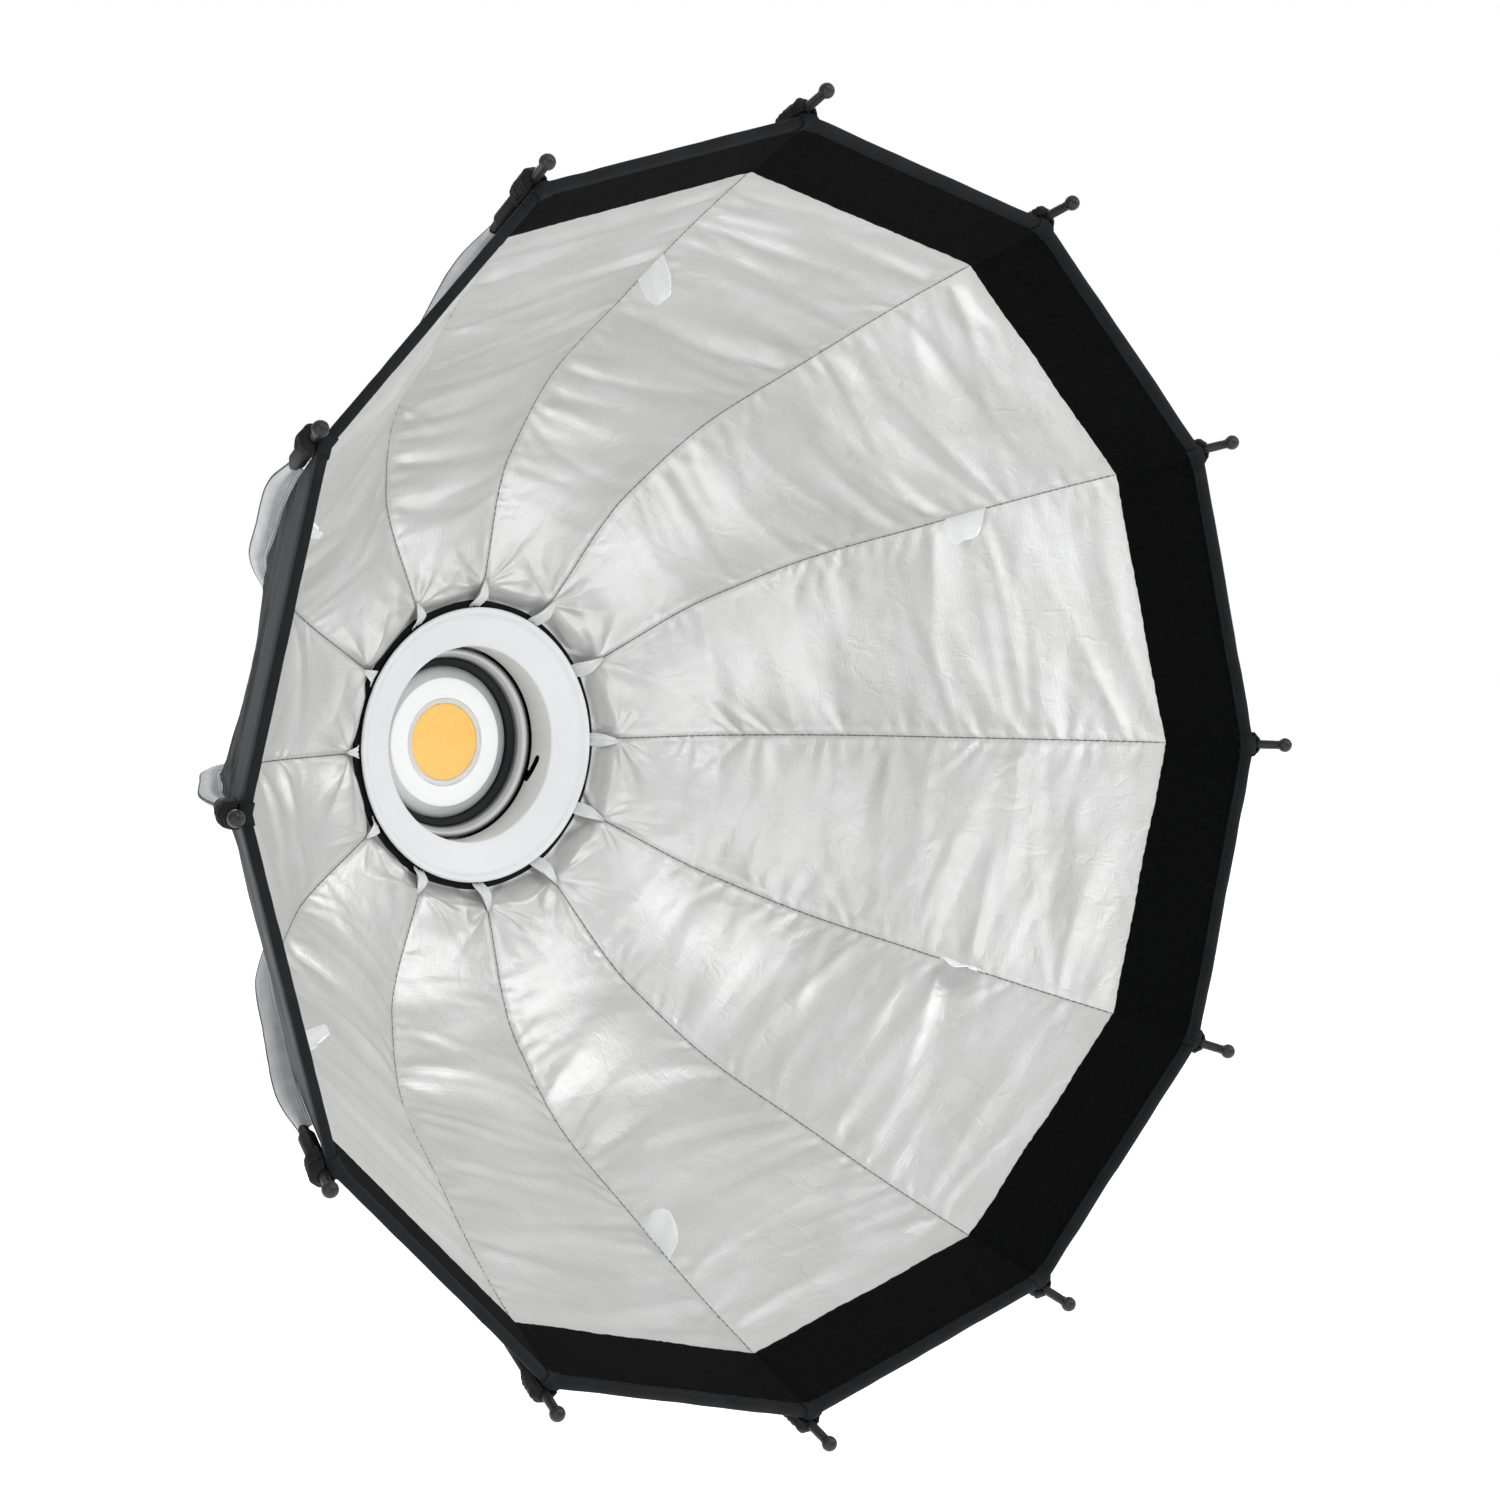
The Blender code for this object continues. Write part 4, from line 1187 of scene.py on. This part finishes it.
def make_white_tabs():
    """Six white tape tabs caught in every other seam, standing in from the cloth."""
    for rod in range(1, SIDES, 2):
        rng = np.random.default_rng(450 + rod)
        s = np.linspace(TAB_PLACE - TAB_LENGTH / 2, TAB_PLACE + TAB_LENGTH / 2, 17)
        radius, y = seam_at(s)
        dr, dy = seam_direction(np.full_like(s, TAB_PLACE))
        base = np.stack([radius, y, radius * 0], -1)
        inward = np.stack([dy, -dr, dr * 0], -1)
        flop = -1.25 * max(math.cos(math.radians(rod * STEP)), 0) + rng.uniform(-0.3, 0.3)
        c = (s - TAB_PLACE) / (TAB_LENGTH / 2)
        rounded_end = TAB_REACH * (1 - 0.34 * np.abs(c) ** 3.5)
        top = []
        for h in np.linspace(0, 1, 13):
            length = np.minimum(TAB_REACH * h, rounded_end)
            lean = flop * (length / TAB_REACH) ** 2 * 0.006 + 0.0007 * np.sin(5 * c + rod) * h
            shrink = 1 - 0.10 * h ** 3
            row = base.mean(0) + (base - base.mean(0)) * shrink + inward * length[:, None]
            row[:, 2] += lean
            top.append(row)
        top = np.array(top)
        back = top - grid_normals(top) * TAPE_THICKNESS
        piece = sheet_object(f"seam_tab_{rod + 1:02d}", top, back, WHITE_TAPE)
        place_at_rod(piece, rod)
        fix_normals(piece, 60)
        finish(piece, rod_body(rod))


# ---- hub and lamp ----
SLOT_LEGS = (((-0.0160, -24.0), (-0.0203, -12.2), 0.0019), ((-0.0142, -23.6), (-0.0142, -20.8), 0.0016))
LUG_SECTION = ((0.0496, 0.0056), (0.0531, 0.0056), (0.0534, 0.0059), (0.0534, 0.0085), (0.0531, 0.0088),
               (0.0496, 0.0088))


def slot_cutter(low, high, half):
    """A round-ended block across the bore wall, between two (y, azimuth) places on it."""
    first, last = Vector(polar(0.0483, *low)), Vector(polar(0.0483, *high))
    run, out = last - first, Vector(polar(1, 0, (low[1] + high[1]) / 2))
    x_axis = run.normalized()
    z_axis = (out - x_axis * out.dot(x_axis)).normalized()
    reach = run.length / 2
    outline = arc((reach, 0), half, -90, 90, 9) + arc((-reach, 0), half, 90, 270, 9)
    # the cutter's painted-shade material passes to the slot's cut walls
    cutter = plate("slot_cutter", outline, -0.004, 0.004, SLOT_PAINTED_SHADE)
    turn = Matrix((x_axis, z_axis.cross(x_axis), z_axis)).transposed().to_4x4()
    turn.translation = (first + last) / 2
    cutter.data.transform(turn)
    return cutter


def carrier_ears():
    """Twelve pairs of ears that hold the hinge wire on both sides of each rod's root."""
    bm = bmesh.new()
    inner, outer = ROOT_HALF_WIDTH + 0.0012, ROOT_HALF_WIDTH + 0.0037
    for rod in range(SIDES):
        for side in (-1, 1):
            low = Vector((0.0660, -0.0304, min(side * inner, side * outer)))
            high = Vector((0.0793, -0.0162, max(side * inner, side * outer)))
            placed = set(bm.verts)
            box = bmesh.ops.create_cube(bm, size=1)["verts"]
            bmesh.ops.scale(bm, vec=high - low, verts=box)
            bmesh.ops.translate(bm, vec=(low + high) / 2, verts=box)
            bmesh.ops.bevel(bm, geom=list({e for v in box for e in v.link_edges}), offset=0.0006, segments=2,
                            affect="EDGES", profile=0.5)
            bmesh.ops.rotate(bm, cent=(0, 0, 0), matrix=Matrix.Rotation(-math.radians(rod * STEP), 3, "Y"),
                             verts=[v for v in bm.verts if v not in placed])
    return object_from(bm, "ears", NYLON)


def bayonet_lugs():
    """Three lugs round the rear sleeve, each 32 degrees long."""
    bm = bmesh.new()
    for middle in (90, 210, 330):
        rings = [[bm.verts.new(polar(r, y, middle + turn)) for r, y in LUG_SECTION]
                 for turn in np.linspace(-16, 16, 13)]
        for a, b in zip(rings, rings[1:]):
            for i in range(len(LUG_SECTION)):
                k = (i + 1) % len(LUG_SECTION)
                bm.faces.new((a[i], a[k], b[k], b[i]))
        bm.faces.new(rings[0])
        bm.faces.new(rings[-1])
    return object_from(bm, "lugs", PLATE_STEEL)


def make_hub():
    ring = turned("reflector_ring_body", rounded([
        (0.0648, -0.0379), (0.0656, -0.03785), (0.0662, -0.03745), (0.0665, -0.0368), (0.0662, -0.0360),
        (0.0652, -0.0357), (0.0494, -0.0289), (0.0492, -0.0143), (BORE_RADIUS, -0.0143), (BORE_RADIUS, -0.0309),
        (0.0480, -0.0315), (0.0500, -0.0319), (0.0604, -0.0352), (0.0622, -0.0359), (0.0634, -0.0371)],
        0.00035, 2), ENAMEL, ROUND, 40)
    for leg in SLOT_LEGS:
        boolean(ring, slot_cutter(*leg), "DIFFERENCE")
    shade(ring.data, 40)
    finish(ring, "hub", "reflector_ring")

    skirt = turned("hub_skirt", [(0.0634, -0.0343), (0.0660, -0.0348), (0.0692, -0.0348), (0.0698, -0.0322),
                                 (0.0752, -0.0320), (0.0752, -0.0309), (0.0634, -0.0309)], STRAP, ROUND, 40)
    finish(skirt, "hub")

    carrier = turned("hub_carrier_body", rounded([
        (0.0496, -0.0284), (0.0543, -0.0306), (0.0700, -0.0306), (0.0700, -0.0284),
        (0.0541, -0.0284), (0.0541, -0.0033), (0.0496, -0.0033)], 0.0005, 2), NYLON)
    # the carrier's bore, seen through the slot, is painted as shade
    paint(carrier, SLOT_PAINTED_SHADE, lambda radius, y: radius < 0.0502)
    boolean(carrier, carrier_ears(), "UNION")
    centre = (HINGE_RADIUS / math.cos(math.radians(180 / WIRE_SEGMENTS)), HINGE_Y)
    channel = turned("channel", arc(centre, WIRE_HOLE_RADIUS, 0, 360 * 15 / 16, 16), NYLON, 96)
    boolean(carrier, channel, "DIFFERENCE")
    shade(carrier.data, 35)
    finish(carrier, "hub", "hub_carrier")

    section = arc((HINGE_RADIUS, HINGE_Y), WIRE_RADIUS, 0, 360 * 11 / 12, 12)
    wire = turned("hinge_wire_ring", section, STEEL, 144, 60)
    finish(wire, "hub", "hinge_wire")

    insert = turned("bayonet_plate", rounded([
        (0.0482, -0.0030), (0.0620, -0.0030), (0.0620, 0.0), (0.0502, 0.0),
        (0.0502, LAMP_REAR), (0.0482, LAMP_REAR)], 0.0004, 2), PLATE_STEEL)
    boolean(insert, bayonet_lugs(), "UNION")
    shade(insert.data, 35)
    finish(insert, "hub", "bayonet_insert")

    collar = turned("sliding_collar", rounded([
        (0.0545, -0.0278), (0.0643, -0.0278), (0.0643, -0.0263), (0.0605, -0.0263),
        (0.0605, -0.0223), (0.0643, -0.0223), (0.0643, -0.0208), (0.0580, -0.0208),
        (0.0580, -0.0142), (0.0655, -0.0142), (0.0655, -0.0122), (0.0545, -0.0122)], 0.0004, 2), NYLON)
    finish(collar, "collar", "lock_collar")


def make_lamp():
    ring = turned("lamp_alloy_ring", rounded([
        (0.0470, -0.0129), (0.0464, -0.0138), (0.0450, -0.0136), (0.0432, -0.0116),
        (0.0412, -0.0092), (0.0412, LAMP_REAR), (0.0470, LAMP_REAR)], 0.0012, 5), ALLOY, ROUND, 60)
    finish(ring, "lamp", "lamp_mount_ring")
    baffle = turned("lamp_baffle", rounded([
        (0.0409, -0.0086), (0.0409, LAMP_REAR), (0.0375, LAMP_REAR), (0.0375, -0.0074)], 0.0005, 3),
        LAMP_BLACK, ROUND, 50)
    finish(baffle, "lamp", "lamp_baffle_ring")
    face = turned("lamp_front", [
        (0, -0.0066), (0.0217, -0.0066), (0.0217, -0.0080), (0.02185, -0.0083), (0.0221, -0.0084),
        (0.0310, -0.0084), (0.0313, -0.0083), (0.0316, -0.00795), (0.0330, -0.00755), (0.0350, -0.0068),
        (0.0366, -0.0060), (0.0372, -0.0054), (0.0372, LAMP_REAR), (0.0345, LAMP_REAR),
        (0.0340, LAMP_REAR - 0.0014), (0.0150, LAMP_REAR - 0.0014), (0.0146, LAMP_REAR - 0.0024),
        (0, LAMP_REAR - 0.0024)], LAMP_WHITE, ROUND, 30)
    paint(face, BEZEL, lambda radius, y: radius > 0.0315)
    paint(face, LAMP_BLACK, lambda radius, y: y > LAMP_REAR - 0.003)
    finish(face, "lamp", "lamp_face")
    disc = turned("led_phosphor_disc", [
        (0, -0.00765), (0.0180, -0.00765), (0.0186, -0.0075), (0.0188, -0.0069), (0, -0.0069)], PHOSPHOR, ROUND, 50)
    finish(disc, "lamp", "led_emitter")
    dam = turned("led_dam", rounded([
        (0.0189, -0.0069), (0.0189, -0.0078), (0.0196, -0.0081), (0.0208, -0.0081),
        (0.0214, -0.0077), (0.0214, -0.0069)], 0.0003, 2), DAM, ROUND, 60)
    finish(dam, "lamp")


# ---- camera, light and ground ----
def make_stage():
    scene = bpy.context.scene
    # the camera was fitted to the twelve rod tips
    eye = Vector((-0.9060190, -1.3552840, 0.1116446))
    right = Vector((0.77488642, -0.63208985, -0.00366796))
    ahead = Vector((0.63026708, 0.77306749, -0.07162453))
    up = Vector((0.04810871, 0.05318908, 0.99742492))
    camera = link("camera", bpy.data.cameras.new("camera"))
    turn = Matrix((right, up, -ahead)).transposed().to_4x4()
    turn.translation = eye
    camera.matrix_world = turn
    camera.data.lens, camera.data.sensor_width = 79.595, 36
    scene.camera = camera

    world = bpy.data.worlds.new("studio")
    scene.world = world
    world.use_nodes = True
    tree = world.node_tree
    tree.nodes.clear()
    t = Tree(tree)
    out = tree.nodes.new("ShaderNodeOutputWorld")
    direction = t.node("SeparateXYZ", {"Vector": t.node("TexCoord").outputs["Generated"]})
    sky = t.node("ValToRGB", {"Fac": t.spread(direction.outputs[2], -1.0, 1.0)})
    ramp = sky.color_ramp
    ramp.elements[0].position, ramp.elements[0].color = 0.0, rgba(0.50, 0.50, 0.50)
    ramp.elements[1].position, ramp.elements[1].color = 1.0, rgba(1.05, 1.05, 1.06)
    middle = ramp.elements.new(0.5)
    middle.color = rgba(0.58, 0.585, 0.59)
    seen = t.node("LightPath").outputs["Is Camera Ray"]
    lit = t.node("Background", {"Color": sky.outputs[0], "Strength": 0.80})
    plain = t.node("Background", {"Color": rgba(1, 1, 1), "Strength": 1.0})
    mixed = t.node("MixShader", {0: seen, 1: lit.outputs[0], 2: plain.outputs[0]})
    tree.links.new(mixed.outputs[0], out.inputs[0])

    for name, place, target, size, power in (
            ("key_light", (-0.1, -1.9, 1.9), (0.05, -0.1, -0.1), 1.7, 19),
            ("side_light", (1.5, -1.7, 1.1), (-0.1, -0.1, -0.1), 1.2, 13),
            ("fill_light", (-1.9, -1.2, 0.35), (0.1, -0.1, 0), 1.4, 9.5),
            ("back_light", (0.9, 1.6, 1.2), (0, 0, 0), 1.2, 9)):
        lamp = bpy.data.lights.new(name, "AREA")
        lamp.shape, lamp.size, lamp.energy = "SQUARE", size, power
        made = link(name, lamp)
        made.location = place
        made.rotation_euler = (Vector(target) - Vector(place)).to_track_quat("-Z", "Y").to_euler()

    bm = bmesh.new()
    bmesh.ops.create_grid(bm, x_segments=2, y_segments=2, size=12)
    mesh = bpy.data.meshes.new("floor")
    bm.to_mesh(mesh)
    bm.free()
    floor = link("floor", mesh)
    floor.location = (0, 0, -0.75)
    pale, t, shader = new_material("pale_floor")
    t.fill(shader, {"Roughness": 0.9, "Base Color": rgba(0.93, 0.93, 0.93),
                    "Normal": t.bump(t.noise(object_coordinates(t), 30.0), 0.001, 0.1),
                    "Emission Color": rgba(1, 1, 1), "Emission Strength": 0.62})
    mesh.materials.append(pale)
    scene.view_settings.view_transform = "Standard"


make_stage()
canopy = make_canopy()
make_band()
make_hem()
make_seam_threads()
make_rods()
make_tie_tabs()
make_white_tabs()
make_hub()
make_lamp()
